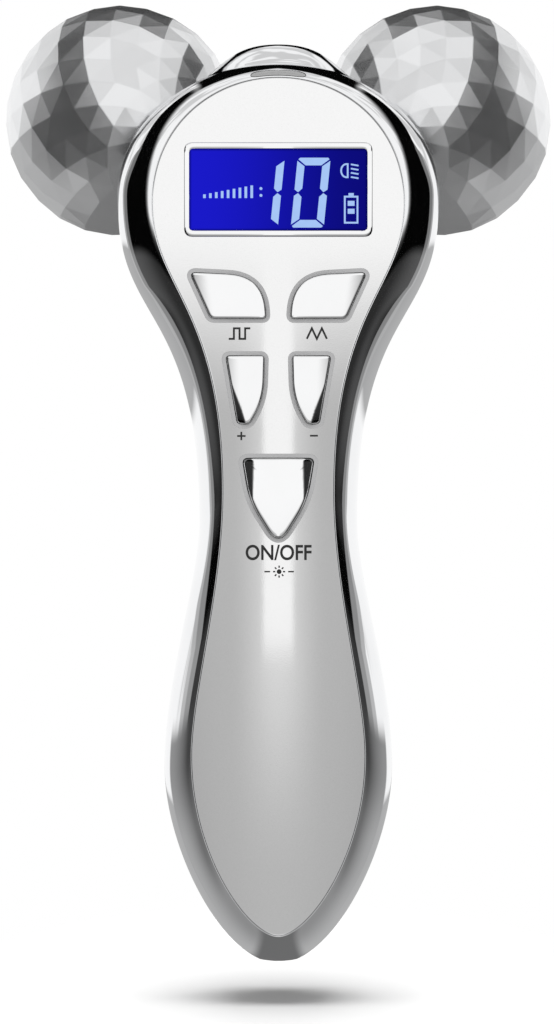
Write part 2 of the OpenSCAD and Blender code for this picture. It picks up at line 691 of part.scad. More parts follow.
module core() axle_line() {
    difference() {
        union() {
            translate([0, 0, roller_from]) cylinder(h = clip_at - roller_from, r = core_r);
            translate([0, 0, clip_at - 2]) cylinder(h = 2, r = cap_r);
        }
        translate([0, 0, roller_from - 1]) cylinder(h = far_end, r = axle_d / 2 + 0.6);
        translate([0, 0, roller_from - 1]) cylinder(h = bush_l + 1.1, r = bush_r + 0.02);
        translate([0, 0, seat_end - bush_l]) cylinder(h = far_end, r = bush_r + 0.02);
    }
}
module ball() axle_line() translate([0, 0, ball_reach]) {
    rings = [for (k = [0:facet_rings - 1]) let (a = facet_first + facet_step * k)
        if (a < 165) [for (i = [0:facet_n - 1]) let (b = 360 / facet_n * (i + (k % 2) / 2) - 2)
            ball_r * [sin(a) * cos(b), sin(a) * sin(b), -cos(a)]]];
    n = facet_n;
    m = len(rings);
    sides = [for (k = [0:m - 2], i = [0:n - 1])
        let (j = (i + 1) % n, a = k * n + i, b = k * n + j, c = a + n, d = b + n)
        each (k % 2 == 0 ? [[a, c, b], [b, c, d]] : [[a, c, d], [a, d, b]])];
    start = [for (i = [0:n - 1]) i];
    end = [for (i = [n - 1:-1:0]) (m - 1) * n + i];
    difference() {
        polyhedron([for (r = rings) each r], concat(sides, [start, end]), 8);
        sphere(ball_r - ball_wall);
        translate([0, 0, -ball_r - 1]) cylinder(h = 10, r = core_r + 0.05);
        translate([0, 0, ball_r - 9]) cylinder(h = 10, r = cap_r + 0.05);
    }
}
module clip() axle_line() {
    ring_on_axle(clip_at + face_gap, clip_at + clip_t - face_gap, axle_d / 2 + 1.2, axle_d / 2 - 0.55);
}
module cap() axle_line() {
    rotate_extrude() polygon(concat([[0, clip_at + 3.2], [cap_r - 1, clip_at + 3.2],
        [cap_r - 1, clip_at + face_gap], [cap_r, clip_at + face_gap]],
        [for (a = [0:15:90]) [cap_r * cos(a), far_end - 0.9 + 1.3 * sin(a)]]));
}

module axle_left() color(steel) seated() axle();
module axle_right() color(steel) seated() mirror([1, 0, 0]) axle();
module collar_left() color(chrome) seated() collar();
module collar_right() color(chrome) seated() mirror([1, 0, 0]) collar();
module washer_left() color(white_plastic) seated() washer();
module washer_right() color(white_plastic) seated() mirror([1, 0, 0]) washer();
module inner_bush_left() color(white_plastic) seated() bush(roller_from + 0.05);
module inner_bush_right() color(white_plastic) seated() mirror([1, 0, 0]) bush(roller_from + 0.05);
module outer_bush_left() color(white_plastic) seated() bush(seat_end - bush_l);
module outer_bush_right() color(white_plastic) seated() mirror([1, 0, 0]) bush(seat_end - bush_l);
module core_left() color(black_plastic) seated() core();
module core_right() color(black_plastic) seated() mirror([1, 0, 0]) core();
module ball_left() color(chrome) seated() ball();
module ball_right() color(chrome) seated() mirror([1, 0, 0]) ball();
module clip_left() color(steel) seated() clip();
module clip_right() color(steel) seated() mirror([1, 0, 0]) clip();
module cap_left() color(chrome) seated() cap();
module cap_right() color(chrome) seated() mirror([1, 0, 0]) cap();

// ---- screws ----

rim_screw_l = 8;
board_screw_l = 6;
bracket_screw_l = 5.4;
module screw(x, z, y, length) {
    rod(x, z, screw_r, y, length);
    rod(x, z, head_r, y - head_t, head_t + face_gap);
}
module rim_screws() color(steel) seated() {
    pair() for (p = lug_spots) screw(p.x, p.y, lug_back - lug_floor - face_gap, rim_screw_l);
}
module board_screws() color(steel) seated() {
    pair() for (p = board_posts) screw(p.x, p.y, board_y - face_gap, board_screw_l);
}
module bracket_screws() color(steel) seated() {
    for (p = bracket_spots) screw(p.x, p.y, bracket_front - face_gap, bracket_screw_l);
}

front_panel();
chrome_rim();
back_shell();
indicator_lens();
display_window();
display_glass();
light_guide();
display_holder();
key_upper_left();
key_upper_right();
key_plus();
key_minus();
key_power();
switch_bodies();
plunger_upper_left();
plunger_upper_right();
plunger_plus();
plunger_minus();
plunger_power();
main_board();
control_chip();
pulse_coil();
storage_capacitor();
charge_chip();
contact_pins();
battery_cell();
battery_cradle();
charging_jack();
jack_board();
battery_leads();
jack_leads();
lamp_leads();
axle_bracket();
lamp_window();
lamps();
lamp_board();
rim_screws();
board_screws();
bracket_screws();
axle_left();
collar_left();
washer_left();
inner_bush_left();
outer_bush_left();
core_left();
ball_left();
clip_left();
cap_left();
axle_right();
collar_right();
washer_right();
inner_bush_right();
outer_bush_right();
core_right();
ball_right();
clip_right();
cap_right();
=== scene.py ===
import math

import bmesh
import bpy
from mathutils import Matrix, Vector


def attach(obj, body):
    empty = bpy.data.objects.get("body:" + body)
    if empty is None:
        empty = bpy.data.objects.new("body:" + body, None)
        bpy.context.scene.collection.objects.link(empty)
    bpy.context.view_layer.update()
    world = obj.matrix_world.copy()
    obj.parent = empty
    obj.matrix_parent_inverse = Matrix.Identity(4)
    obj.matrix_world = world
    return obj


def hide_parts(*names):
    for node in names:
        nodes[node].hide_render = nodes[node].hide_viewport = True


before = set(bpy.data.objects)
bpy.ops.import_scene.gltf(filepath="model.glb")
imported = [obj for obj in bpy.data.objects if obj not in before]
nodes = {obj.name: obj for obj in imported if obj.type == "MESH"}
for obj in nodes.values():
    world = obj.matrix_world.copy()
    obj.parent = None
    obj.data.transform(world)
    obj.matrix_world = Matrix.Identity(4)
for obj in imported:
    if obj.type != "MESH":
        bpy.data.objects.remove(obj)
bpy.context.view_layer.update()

scene = bpy.context.scene
mm = 0.001
portAboveTip = 1.0      # the frame's origin is the port's mouth, heights below are from the tip


# shaders

def addNode(tree, kind, inputs=None, **settings):
    made = tree.nodes.new(kind)
    for name, value in settings.items():
        setattr(made, name, value)
    for name, value in (inputs or {}).items():
        if isinstance(value, bpy.types.NodeSocket):
            tree.links.new(value, made.inputs[name])
        else:
            made.inputs[name].default_value = value
    return made


def maths(tree, operation, first, second=0.0):
    return addNode(tree, "ShaderNodeMath", {0: first, 1: second}, operation=operation).outputs[0]


def times(tree, first, second):
    return maths(tree, "MULTIPLY", first, second)


def plus(tree, first, second):
    return maths(tree, "ADD", first, second)


def minus(tree, first, second):
    return maths(tree, "SUBTRACT", first, second)


def over(tree, first, second):
    return maths(tree, "DIVIDE", first, second)


def most(tree, first, second):
    return maths(tree, "MAXIMUM", first, second)


def rise(tree, value, start, stop, low=0.0, high=1.0, form="SMOOTHSTEP"):
    # low before start, high after stop, eased between them
    return addNode(tree, "ShaderNodeMapRange",
                   {"Value": value, "From Min": start, "From Max": stop, "To Min": low, "To Max": high},
                   interpolation_type=form).outputs["Result"]


def noise(tree, place, size, detail=2.0):
    made = addNode(tree, "ShaderNodeTexNoise", {"Vector": place, "Scale": size, "Detail": detail})
    return made.outputs["Fac"]


def bumpFrom(tree, height, strength, distance):
    made = addNode(tree, "ShaderNodeBump", {"Height": height, "Strength": strength, "Distance": distance})
    return made.outputs["Normal"]


def grey(level):
    return (level, level, level)


def dimmed(colour, share):
    return tuple(share * part for part in colour)


def twoTones(tree, share, low, high, start=0.0, stop=1.0):
    ramp = addNode(tree, "ShaderNodeValToRGB", {"Fac": share})
    for point, place, colour in zip(ramp.color_ramp.elements, (start, stop), (low, high)):
        point.position = place
        point.color = (*colour, 1.0)
    return ramp.outputs["Color"]


def newMaterial(name):
    made = bpy.data.materials.new(name)
    made.use_nodes = True
    made.node_tree.nodes.clear()
    return made, made.node_tree


def objectPlace(tree, scale=(1, 1, 1)):
    coords = addNode(tree, "ShaderNodeTexCoord")
    place = coords.outputs["Object"]
    return addNode(tree, "ShaderNodeMapping", {"Vector": place, "Scale": scale}).outputs[0]


def closeSurface(tree, shader):
    addNode(tree, "ShaderNodeOutputMaterial", {"Surface": shader.outputs[0]})


def finishWith(made, values):
    closeSurface(made.node_tree, addNode(made.node_tree, "ShaderNodeBsdfPrincipled", values))
    return made


finishes = {
    # colour, metal, roughness low and high, grain per metre, bump depth
    "mirrorChrome": {"colour": (0.90, 0.905, 0.915), "metal": 1.0, "rough": (0.03, 0.055), "grain": 900,
                     "bump": 0.004},
    "facetChrome": {"colour": (0.88, 0.885, 0.895), "metal": 0.92, "rough": (0.22, 0.27), "grain": 1500,
                    "bump": 0.006},
    "keyChrome": {"colour": (0.95, 0.953, 0.957), "metal": 1.0, "rough": (0.03, 0.05), "grain": 900,
                  "bump": 0.003},
    # painted shade: a matt grey for the groove floors round the keys, where the silver face plate lies in
    # shade
    "grooveShadeGrey": {"colour": (0.56, 0.56, 0.565), "metal": 0.0, "rough": (0.45, 0.55), "grain": 3000,
                  "bump": 0.01},
    "whitePlastic": {"colour": (0.86, 0.86, 0.84), "metal": 0.0, "rough": (0.3, 0.4), "grain": 2500,
                     "bump": 0.02},
    "blackPlastic": {"colour": (0.03, 0.03, 0.034), "metal": 0.0, "rough": (0.35, 0.5), "grain": 3000,
                     "bump": 0.03},
    "turnedSteel": {"colour": (0.60, 0.61, 0.63), "metal": 1.0, "rough": (0.2, 0.32), "grain": 4000,
                    "bump": 0.01},
    "copperWire": {"colour": (0.70, 0.38, 0.18), "metal": 1.0, "rough": (0.22, 0.35), "grain": 5000,
                   "bump": 0.05},
    "goldPlate": {"colour": (0.85, 0.66, 0.32), "metal": 1.0, "rough": (0.18, 0.28), "grain": 3000,
                  "bump": 0.01},
    "boardLacquer": {"colour": (0.03, 0.20, 0.09), "metal": 0.0, "rough": (0.22, 0.34), "grain": 1800,
                     "bump": 0.02},
    "cellSleeve": {"colour": (0.08, 0.24, 0.55), "metal": 0.0, "rough": (0.18, 0.3), "grain": 1200,
                   "bump": 0.02},
    "lampResin": {"colour": (0.86, 0.83, 0.58), "metal": 0.0, "rough": (0.12, 0.2), "grain": 2500,
                  "bump": 0.01},
    "redSleeve": {"colour": (0.55, 0.04, 0.03), "metal": 0.0, "rough": (0.35, 0.45), "grain": 2500,
                  "bump": 0.02},
    "blackSleeve": {"colour": (0.025, 0.025, 0.03), "metal": 0.0, "rough": (0.35, 0.45), "grain": 2500,
                    "bump": 0.02},
}

# how the grain of a plain finish spreads: part of the noise in use, size and darkest tone of its clouds
grain = {"start": 0.3, "stop": 0.7, "broader": 12, "darker": 0.965, "deep": 0.0002}


def plainFinish(name):
    values = finishes[name]
    made, tree = newMaterial(name)
    place = objectPlace(tree)
    start, stop = grain["start"], grain["stop"]
    broad = noise(tree, place, values["grain"] / grain["broader"], detail=3.0)
    fine = noise(tree, place, values["grain"], detail=4.0)
    return finishWith(made, {
        "Base Color": twoTones(tree, broad, dimmed(values["colour"], grain["darker"]), values["colour"],
                               start, stop),
        "Metallic": values["metal"], "Roughness": rise(tree, broad, start, stop, *values["rough"]),
        "Normal": bumpFrom(tree, fine, values["bump"], grain["deep"])})


satinFace = {"colour": 0.90, "flake": 0.93, "rough": (0.035, 0.055), "flakeSize": 5200, "cloudSize": 60.0,
             "bump": 0.006, "deep": 0.0001, "lacquer": 0.1, "lacquerRough": 0.04}


def facePaintFinish():
    made, tree = newMaterial("satinSilver")
    place = objectPlace(tree)
    flakes = addNode(tree, "ShaderNodeTexVoronoi", {"Vector": place, "Scale": satinFace["flakeSize"]})
    cloud = noise(tree, place, satinFace["cloudSize"], detail=3.0)
    return finishWith(made, {
        "Base Color": twoTones(tree, flakes.outputs["Color"], grey(satinFace["colour"]),
                               grey(satinFace["flake"])),
        "Metallic": 1.0, "Roughness": rise(tree, cloud, grain["start"], grain["stop"], *satinFace["rough"]),
        "Normal": bumpFrom(tree, flakes.outputs["Distance"], satinFace["bump"], satinFace["deep"]),
        "Coat Weight": satinFace["lacquer"], "Coat Roughness": satinFace["lacquerRough"]})


displayLight = {"left": (0.0085, 0.0085, 0.56), "right": (0.002, 0.002, 0.17), "unlit": (0.002, 0.002, 0.03),
                "halfWidth": 0.0169, "halfTall": 0.0078, "middle": 0.1458, "edge": 0.0006, "paintedEdgeShade": 0.35,
                "rough": 0.3, "cells": 3600, "bump": 0.02, "deep": 0.0001}


def displayBlueFinish():
    made, tree = newMaterial("displayBlue")
    place = objectPlace(tree)
    across, deep, up = addNode(tree, "ShaderNodeSeparateXYZ", {"Vector": place}).outputs
    share = rise(tree, across, -displayLight["halfWidth"], displayLight["halfWidth"])
    # painted shade: the glow dims towards the field's edges, standing in for the frame's inner shadow
    sides = minus(tree, displayLight["halfWidth"], maths(tree, "ABSOLUTE", across))
    ends = maths(tree, "ABSOLUTE", minus(tree, up, displayLight["middle"]))
    ends = minus(tree, displayLight["halfTall"], ends)
    nearest = maths(tree, "MINIMUM", sides, ends)
    inside = rise(tree, nearest, 0.0, displayLight["edge"], displayLight["paintedEdgeShade"])
    glow = twoTones(tree, share, displayLight["left"], displayLight["right"])
    shade = addNode(tree, "ShaderNodeVectorMath", {0: glow, 3: inside}, operation="SCALE")
    cells = addNode(tree, "ShaderNodeTexVoronoi", {"Vector": place, "Scale": displayLight["cells"]})
    return finishWith(made, {
        "Base Color": (*displayLight["unlit"], 1.0), "Roughness": displayLight["rough"],
        "Specular IOR Level": 0.0, "Emission Color": shade.outputs[0], "Emission Strength": 1.0,
        "Normal": bumpFrom(tree, cells.outputs["Distance"], displayLight["bump"], displayLight["deep"])})


litFigure = {"colour": (0.39, 0.58, 0.94), "darker": 0.9, "strength": 0.97, "grain": 900.0,
             "unlit": (0.02, 0.03, 0.06), "rough": 0.4, "gloss": 0.1}


def litSegmentFinish():
    made, tree = newMaterial("litSegment")
    cloud = noise(tree, objectPlace(tree), litFigure["grain"])
    glow = twoTones(tree, cloud, dimmed(litFigure["colour"], litFigure["darker"]), litFigure["colour"])
    return finishWith(made, {
        "Base Color": (*litFigure["unlit"], 1.0), "Roughness": litFigure["rough"],
        "Specular IOR Level": litFigure["gloss"], "Emission Color": glow,
        "Emission Strength": litFigure["strength"]})


ink = {"dark": 0.022, "light": 0.045, "grain": 4000.0, "rough": 0.55, "gloss": 0.2}


def inkFinish():
    made, tree = newMaterial("greyPrint")
    cloud = noise(tree, objectPlace(tree), ink["grain"])
    tone = twoTones(tree, cloud, grey(ink["dark"]), grey(ink["light"]))
    return finishWith(made, {"Base Color": tone, "Roughness": ink["rough"],
                             "Specular IOR Level": ink["gloss"]})


smoke = {"dark": 0.40, "light": 0.46, "grain": 500.0, "rough": 0.08, "coat": 0.4, "coatRough": 0.03}


def smokedLensFinish():
    made, tree = newMaterial("smokedLens")
    cloud = noise(tree, objectPlace(tree), smoke["grain"])
    tone = twoTones(tree, cloud, grey(smoke["dark"]), grey(smoke["light"]))
    return finishWith(made, {"Base Color": tone, "Roughness": smoke["rough"], "Coat Weight": smoke["coat"],
                             "Coat Roughness": smoke["coatRough"]})


clear = {"colour": (0.93, 0.95, 0.97), "grain": 700.0, "rough": (0.02, 0.06), "bending": 1.49}


def clearWindowFinish():
    made, tree = newMaterial("clearWindow")
    cloud = noise(tree, objectPlace(tree), clear["grain"])
    return finishWith(made, {
        "Base Color": (*clear["colour"], 1.0), "IOR": clear["bending"], "Transmission Weight": 1.0,
        "Roughness": rise(tree, cloud, grain["start"], grain["stop"], *clear["rough"])})


mirrorChrome = plainFinish("mirrorChrome")
facetChrome = plainFinish("facetChrome")
satinSilver = facePaintFinish()
displayBlue = displayBlueFinish()
litSegment = litSegmentFinish()
greyPrint = inkFinish()
keyChrome = plainFinish("keyChrome")
grooveShadeGrey = plainFinish("grooveShadeGrey")
smokedLens = smokedLensFinish()
clearWindow = clearWindowFinish()
slotFinish = {
    "chrome": mirrorChrome, "key_chrome": keyChrome, "ball_chrome": facetChrome, "face_paint": satinSilver,
    "smoked_lens": smokedLens, "window": clearWindow, "window_clear": clearWindow, "display": displayBlue,
    "white_plastic": plainFinish("whitePlastic"), "black_plastic": plainFinish("blackPlastic"),
    "circuit_board": plainFinish("boardLacquer"), "steel": plainFinish("turnedSteel"),
    "copper": plainFinish("copperWire"), "gold_contact": plainFinish("goldPlate"),
    "cell_wrap": plainFinish("cellSleeve"), "lamp_body": plainFinish("lampResin"),
    "red_lead": plainFinish("redSleeve"), "black_lead": plainFinish("blackSleeve"),
}
for name, node in nodes.items():
    slotName = node.data.materials[0].name.split(".")[0] if node.data.materials else "steel"
    node.data.materials.clear()
    node.data.materials.append(slotFinish.get(slotName, slotFinish["steel"]))
print("finishes made for", len(nodes), "nodes")


# outlines, as points across and up in millimetres from the tip

casing = {"tip": 0.0, "grip": (21.6, 37.3), "neck": (15.0, 84.0), "head": (30.6, 145.3), "top": 171.1,
          "pulls": (0.486, 0.41, 0.361, 0.233, 0.679, 0.403, 0.632, 0.462), "steps": 40}
facePlate = {"tip": 5.15, "grip": (16.6, 39.4), "neck": (10.65, 89.6), "head": (24.1, 144.4), "top": 168.3,
             "pulls": (0.344, 0.557, 0.234, 0.377, 0.649, 0.3, 0.611, 0.519), "steps": 40,
             "depth": 12.0, "roundAcross": 180.0, "roundAlong": 1150.0, "middle": 90.0, "thickness": 1.6}


def curvePoints(start, pullOut, pullIn, stop, steps):
    # a cubic curve, sampled between its ends so that mirrored halves never share a point
    made = []
    for step in range(steps):
        t = (step + 0.5) / steps
        u = 1 - t
        made.append(u ** 3 * start + 3 * u * u * t * pullOut + 3 * u * t * t * pullIn + t ** 3 * stop)
    return made


def mirrored(points):
    return [Vector((-point.x, point.y)) for point in reversed(points)]


def outlineLoop(shape):
    # four spans a side, which run straight up through the widest and narrowest places
    tip, top = Vector((0, shape["tip"])), Vector((0, shape["top"]))
    grip, neck, head = (Vector(shape[name]) for name in ("grip", "neck", "head"))
    pulls = shape["pulls"]

    def upwards(low, high, share):
        return Vector((0, share * (high.y - low.y)))

    spans = [
        (tip, Vector((pulls[0] * grip.x, tip.y)), grip - upwards(tip, grip, pulls[1]), grip),
        (grip, grip + upwards(grip, neck, pulls[2]), neck - upwards(grip, neck, pulls[3]), neck),
        (neck, neck + upwards(neck, head, pulls[4]), head - upwards(neck, head, pulls[5]), head),
        (head, head + upwards(head, top, pulls[6]), Vector((pulls[7] * head.x, top.y)), top)]
    right = [point for span in spans for point in curvePoints(*span, shape["steps"])]
    return right + mirrored(right)


def moveIn(points, distance):
    made = []
    for index, point in enumerate(points):
        along = (points[(index + 1) % len(points)] - points[index - 1]).normalized()
        made.append(point + distance * Vector((-along.y, along.x)))
    return made


def blend(first, second, share):
    return [a.lerp(b, share) for a, b in zip(first, second)]


def faceDepth(point):
    return (-facePlate["depth"] + point.x ** 2 / (2 * facePlate["roundAcross"])
            + (point.y - facePlate["middle"]) ** 2 / (2 * facePlate["roundAlong"]))


def placed(point, depth):
    return Vector((point.x, depth, point.y - portAboveTip)) * mm


def onFace(points, behind=0.0):
    return [placed(point, faceDepth(point) + behind) for point in points]


bodyLoop = outlineLoop(casing)
plateLoop = outlineLoop(facePlate)


# mesh tools

def bridgeRings(bm, rings, around=False, spine=(), filled=()):
    # stacked circles are joined one to the next, then moved to the places of the rings
    loops = []
    for index, ring in enumerate(rings):
        made = bmesh.ops.create_circle(bm, segments=len(ring), radius=mm,
                                       matrix=Matrix.Translation((0, 0, index * mm)))["verts"]
        loops.append((made, list({edge for vert in made for edge in vert.link_edges})))
    pairs = list(zip(loops, loops[1:])) + ([(loops[-1], loops[0])] if around else [])
    for first, second in pairs:
        bmesh.ops.bridge_loops(bm, edges=first[1] + second[1])
    for (made, edges), ring in zip(loops, rings):
        for vert, place in zip(made, ring):
            vert.co = place
    for index in spine:
        edges = loops[index][1]
        right = [edge for edge in edges if min(vert.co.x for vert in edge.verts) > 0]
        left = [edge for edge in edges if max(vert.co.x for vert in edge.verts) < 0]
        bmesh.ops.bridge_loops(bm, edges=right + left)
    for index in filled:
        bmesh.ops.contextual_create(bm, geom=loops[index][1])


sharpFrom = {"cut": 32.0, "lofted": 40.0, "facets": 1.0}


def smoothOver(bm, sharp):
    # smooth all over, save at edges that turn further than so many degrees
    for face in bm.faces:
        face.smooth = True
    for edge in bm.edges:
        edge.smooth = edge.calc_face_angle(0.0) < math.radians(sharp)


def newPiece(bm, name, finish, sharp=sharpFrom["cut"]):
    bmesh.ops.recalc_face_normals(bm, faces=bm.faces)
    smoothOver(bm, sharp)
    mesh = bpy.data.meshes.new(name)
    bm.to_mesh(mesh)
    bm.free()
    mesh.materials.append(finish)
    made = bpy.data.objects.new(name, mesh)
    scene.collection.objects.link(made)
    return made


def lofted(name, finish, rings, sharp=sharpFrom["cut"], **ends):
    bm = bmesh.new()
    bridgeRings(bm, rings, **ends)
    return newPiece(bm, name, finish, sharp)


def toolFrom(rings):
    return lofted("cutter", mirrorChrome, rings, filled=(0, -1))


def cutAway(piece, tools, sharp=sharpFrom["cut"]):
    for tool in tools:
        cut = piece.modifiers.new("cut", "BOOLEAN")
        cut.operation = "DIFFERENCE"
        cut.solver = "EXACT"
        cut.object = tool
    graph = bpy.context.evaluated_depsgraph_get()
    mesh = bpy.data.meshes.new_from_object(piece.evaluated_get(graph))
    finishesKept = list(piece.data.materials)
    piece.modifiers.clear()
    piece.data = mesh
    for tool in tools:
        bpy.data.objects.remove(tool)
    bm = bmesh.new()
    bm.from_mesh(mesh)
    for face in bm.faces:
        face.material_index = min(face.material_index, len(finishesKept) - 1)
    smoothOver(bm, sharp)
    bm.to_mesh(mesh)
    bm.free()
    mesh.materials.clear()
    for finish in finishesKept:
        mesh.materials.append(finish)


def settleNormals(piece, surfaceNormal, limit=0.995):
    # corners on the named surface take its true normal, so cut-outs leave no ripple in the gloss
    mesh = piece.data
    normals = [Vector(corner.vector) for corner in mesh.corner_normals]
    for polygon in mesh.polygons:
        for corner in polygon.loop_indices:
            true = surfaceNormal(mesh.vertices[mesh.loops[corner].vertex_index].co)
            if polygon.normal.dot(true) > limit:
                normals[corner] = true
    mesh.normals_split_custom_set(normals)


def plateNormal(place):
    across = place.x / mm / facePlate["roundAcross"]
    along = (place.z / mm + portAboveTip - facePlate["middle"]) / facePlate["roundAlong"]
    return Vector((across, -1.0, along)).normalized()


def dress(piece, slotName, *replaced, body="handle"):
    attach(piece, body)
    if replaced:
        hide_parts(*replaced)


# small outlines

cornerSteps = 12


def roundedOutline(corners, count=160):
    # corners as across, up and radius, each eased by a quadratic, then spaced evenly
    rough = []
    for index, (x, z, radius) in enumerate(corners):
        here = Vector((x, z))
        before = (Vector(corners[index - 1][:2]) - here).normalized()
        after = (Vector(corners[(index + 1) % len(corners)][:2]) - here).normalized()
        back = radius / math.tan(before.angle(after) / 2)
        first, last = here + before * back, here + after * back
        for step in range(cornerSteps + 1):
            t = step / cornerSteps
            rough.append((1 - t) ** 2 * first + 2 * t * (1 - t) * here + t * t * last)
    lengths = [(rough[(i + 1) % len(rough)] - rough[i]).length for i in range(len(rough))]
    made, walked, index = [], 0.0, 0
    for step in range(count):
        goal = sum(lengths) * step / count
        while walked + lengths[index] < goal:
            walked += lengths[index]
            index += 1
        made.append(rough[index].lerp(rough[(index + 1) % len(rough)], (goal - walked) / lengths[index]))
    return made


def shifted(points, across, up):
    return [point + Vector((across, up)) for point in points]


def outward(points, distance):
    area = sum(a.x * b.y - b.x * a.y for a, b in zip(points, points[1:] + points[:1]))
    return moveIn(points, -distance if area > 0 else distance)


def disc(x, z, radius, count=32):
    turns = [2 * math.pi * i / count for i in range(count)]
    return [Vector((x + radius * math.cos(turn), z + radius * math.sin(turn))) for turn in turns]


# camera

view = {"distance": 4.0, "tall": 0.19456, "middle": (-0.00025, 0.0847), "sensor": 36.0, "clip": (0.1, 50.0)}


def makeCamera():
    data = bpy.data.cameras.new("studioCamera")
    data.sensor_width = view["sensor"]
    data.lens = data.sensor_width * view["distance"] / view["tall"]
    data.clip_start, data.clip_end = view["clip"]
    camera = bpy.data.objects.new("studioCamera", data)
    camera.location = (view["middle"][0], -view["distance"], view["middle"][1])
    camera.rotation_euler = (math.radians(90), 0, 0)
    scene.collection.objects.link(camera)
    scene.camera = camera


makeCamera()


# rim, face plate and back shell

rim = {"arcSteps": 26, "lip": 0.12, "lipDepth": 1.1, "ledge": 1.8, "ledgeDepth": 1.25, "ledgeClear": 0.05,
       "endTilt": (12.0, 3.0), "tiltFrom": 132.0, "tiltTo": 142.0, "angleStep": 0.002,
       "inside": ((0.45, 0.5), (0.35, 0.0))}


def ringAcross(points, depths):
    return [placed(point, depth) for point, depth in zip(points, depths)]


def lastAngle(outer, inner):
    # where the rim's arc stops, so that it meets the face plate with a slight outward tilt
    low, high = rim["endTilt"]
    share = min(1.0, max(0.0, (inner.y - rim["tiltFrom"]) / (rim["tiltTo"] - rim["tiltFrom"])))
    goal = math.tan(math.radians(low + (high - low) * share))
    ratio = -faceDepth(inner) / (outer - inner).length
    angle = math.pi / 2
    while ratio * math.tan(angle / 2) / math.tan(angle) < goal:
        angle -= rim["angleStep"]
    return angle


def makeRim():
    tall = [faceDepth(point) for point in plateLoop]
    ends = [lastAngle(outer, inner) for outer, inner in zip(bodyLoop, plateLoop)]
    rings = []
    for step in range(rim["arcSteps"] + 1):
        ring = []
        for outer, inner, depth, end in zip(bodyLoop, plateLoop, tall, ends):
            angle = end * step / rim["arcSteps"]
            share = (1 - math.cos(angle)) / (1 - math.cos(end))
            ring.append(placed(outer.lerp(inner, share), depth * math.sin(angle) / math.sin(end)))
        rings.append(ring)
    lip = moveIn(plateLoop, rim["lip"])
    for behind in (rim["lip"], rim["lipDepth"]):
        rings.append(ringAcross(lip, [depth + behind for depth in tall]))
    ledge = moveIn(plateLoop, rim["ledge"])
    seat = facePlate["thickness"] + rim["ledgeClear"]
    rings += [onFace(ledge, seat), onFace(ledge, seat + rim["ledgeDepth"])]
    for inward, deep in rim["inside"]:
        rings.append(ringAcross(blend(bodyLoop, plateLoop, inward), [deep * depth for depth in tall]))
    return lofted("rimShell", mirrorChrome, rings, sharpFrom["lofted"], around=True)


panel = {"gap": 0.22, "edge": 0.16, "shares": [0.04, 0.1, 0.2, 0.32, 0.46, 0.6, 0.74, 0.86, 0.94, 0.975],
         "backShares": (0.975, 0.5)}
spineEnds = {"tipLift": 14.0, "tipReach": 40.0, "topDrop": 12.0, "topReach": 30.0}


def spineHeight(z):
    low = spineEnds["tipLift"] * max(0.0, 1 - z / spineEnds["tipReach"]) ** 2
    high = spineEnds["topDrop"] * max(0.0, 1 - (casing["top"] - z) / spineEnds["topReach"]) ** 2
    return z + low - high


def toSpine(points, share):
    return [point.lerp(Vector((0, spineHeight(point.y))), share) for point in points]


def makePanel():
    edge = moveIn(plateLoop, panel["gap"])
    top = moveIn(plateLoop, panel["gap"] + panel["edge"])
    rings = [onFace(toSpine(edge, share), facePlate["thickness"]) for share in panel["backShares"]]
    rings += [onFace(edge, facePlate["thickness"]), onFace(edge, panel["edge"]), onFace(top)]
    rings += [onFace(toSpine(top, share)) for share in panel["shares"]]
    return lofted("facePanel", satinSilver, rings, spine=(0, -1))


shell = {"seam": 0.1, "squareAcross": 0.85, "squareDepth": 0.9, "wall": 2.0, "steps": 26, "lastAngle": 88,
         "crowding": 1.15, "innerAngles": (87, 70, 50, 30, 14, 0), "neckDepth": 11.0,
         "gripSwell": (3.0, 35.5, 36.0), "headSwell": (2.5, 146.5, 26.0),
         "crownRise": 4.25, "crownHalf": 14.3, "crownForm": (3.2, 1.15), "crownEase": 5.0}


def backDepth(z):
    return shell["neckDepth"] + sum(swell * math.exp(-((z - middle) / reach) ** 2)
                                    for swell, middle, reach in (shell["gripSwell"], shell["headSwell"]))


def crownLift(point, depth):
    if point.y < casing["head"][1]:
        return 0.0
    flat, steep = shell["crownForm"]
    swell = max(0.0, 1 - abs(point.x / shell["crownHalf"]) ** flat) ** steep
    ease = min(1.0, max(0.0, (depth - shell["seam"]) / shell["crownEase"]))
    return shell["crownRise"] * swell * math.sin(math.pi / 2 * ease)


def backRing(base, cut, raised, angle):
    across = math.cos(math.radians(angle)) ** shell["squareAcross"]
    deep = math.sin(math.radians(angle)) ** shell["squareDepth"]
    made = []
    for point in base:
        middle = spineHeight(point.y)
        depth = shell["seam"] + (backDepth(middle) - cut - shell["seam"]) * deep
        lift = crownLift(point, depth) if raised else 0.0
        made.append(Vector((point.x * across, depth, middle + (point.y + lift - middle) * across
                            - portAboveTip)) * mm)
    return made


def makeBackShell():
    inner = moveIn(bodyLoop, shell["wall"])
    rings = [backRing(inner, shell["wall"], False, angle) for angle in shell["innerAngles"]]
    for step in range(shell["steps"] + 1):
        angle = shell["lastAngle"] * (step / shell["steps"]) ** shell["crowding"]
        rings.append(backRing(bodyLoop, 0, True, angle))
    return lofted("backShell", mirrorChrome, rings, sharpFrom["lofted"], spine=(0, -1))


rimShell = makeRim()
facePanel = makePanel()
backShell = makeBackShell()
print("casing lofted")


# keys

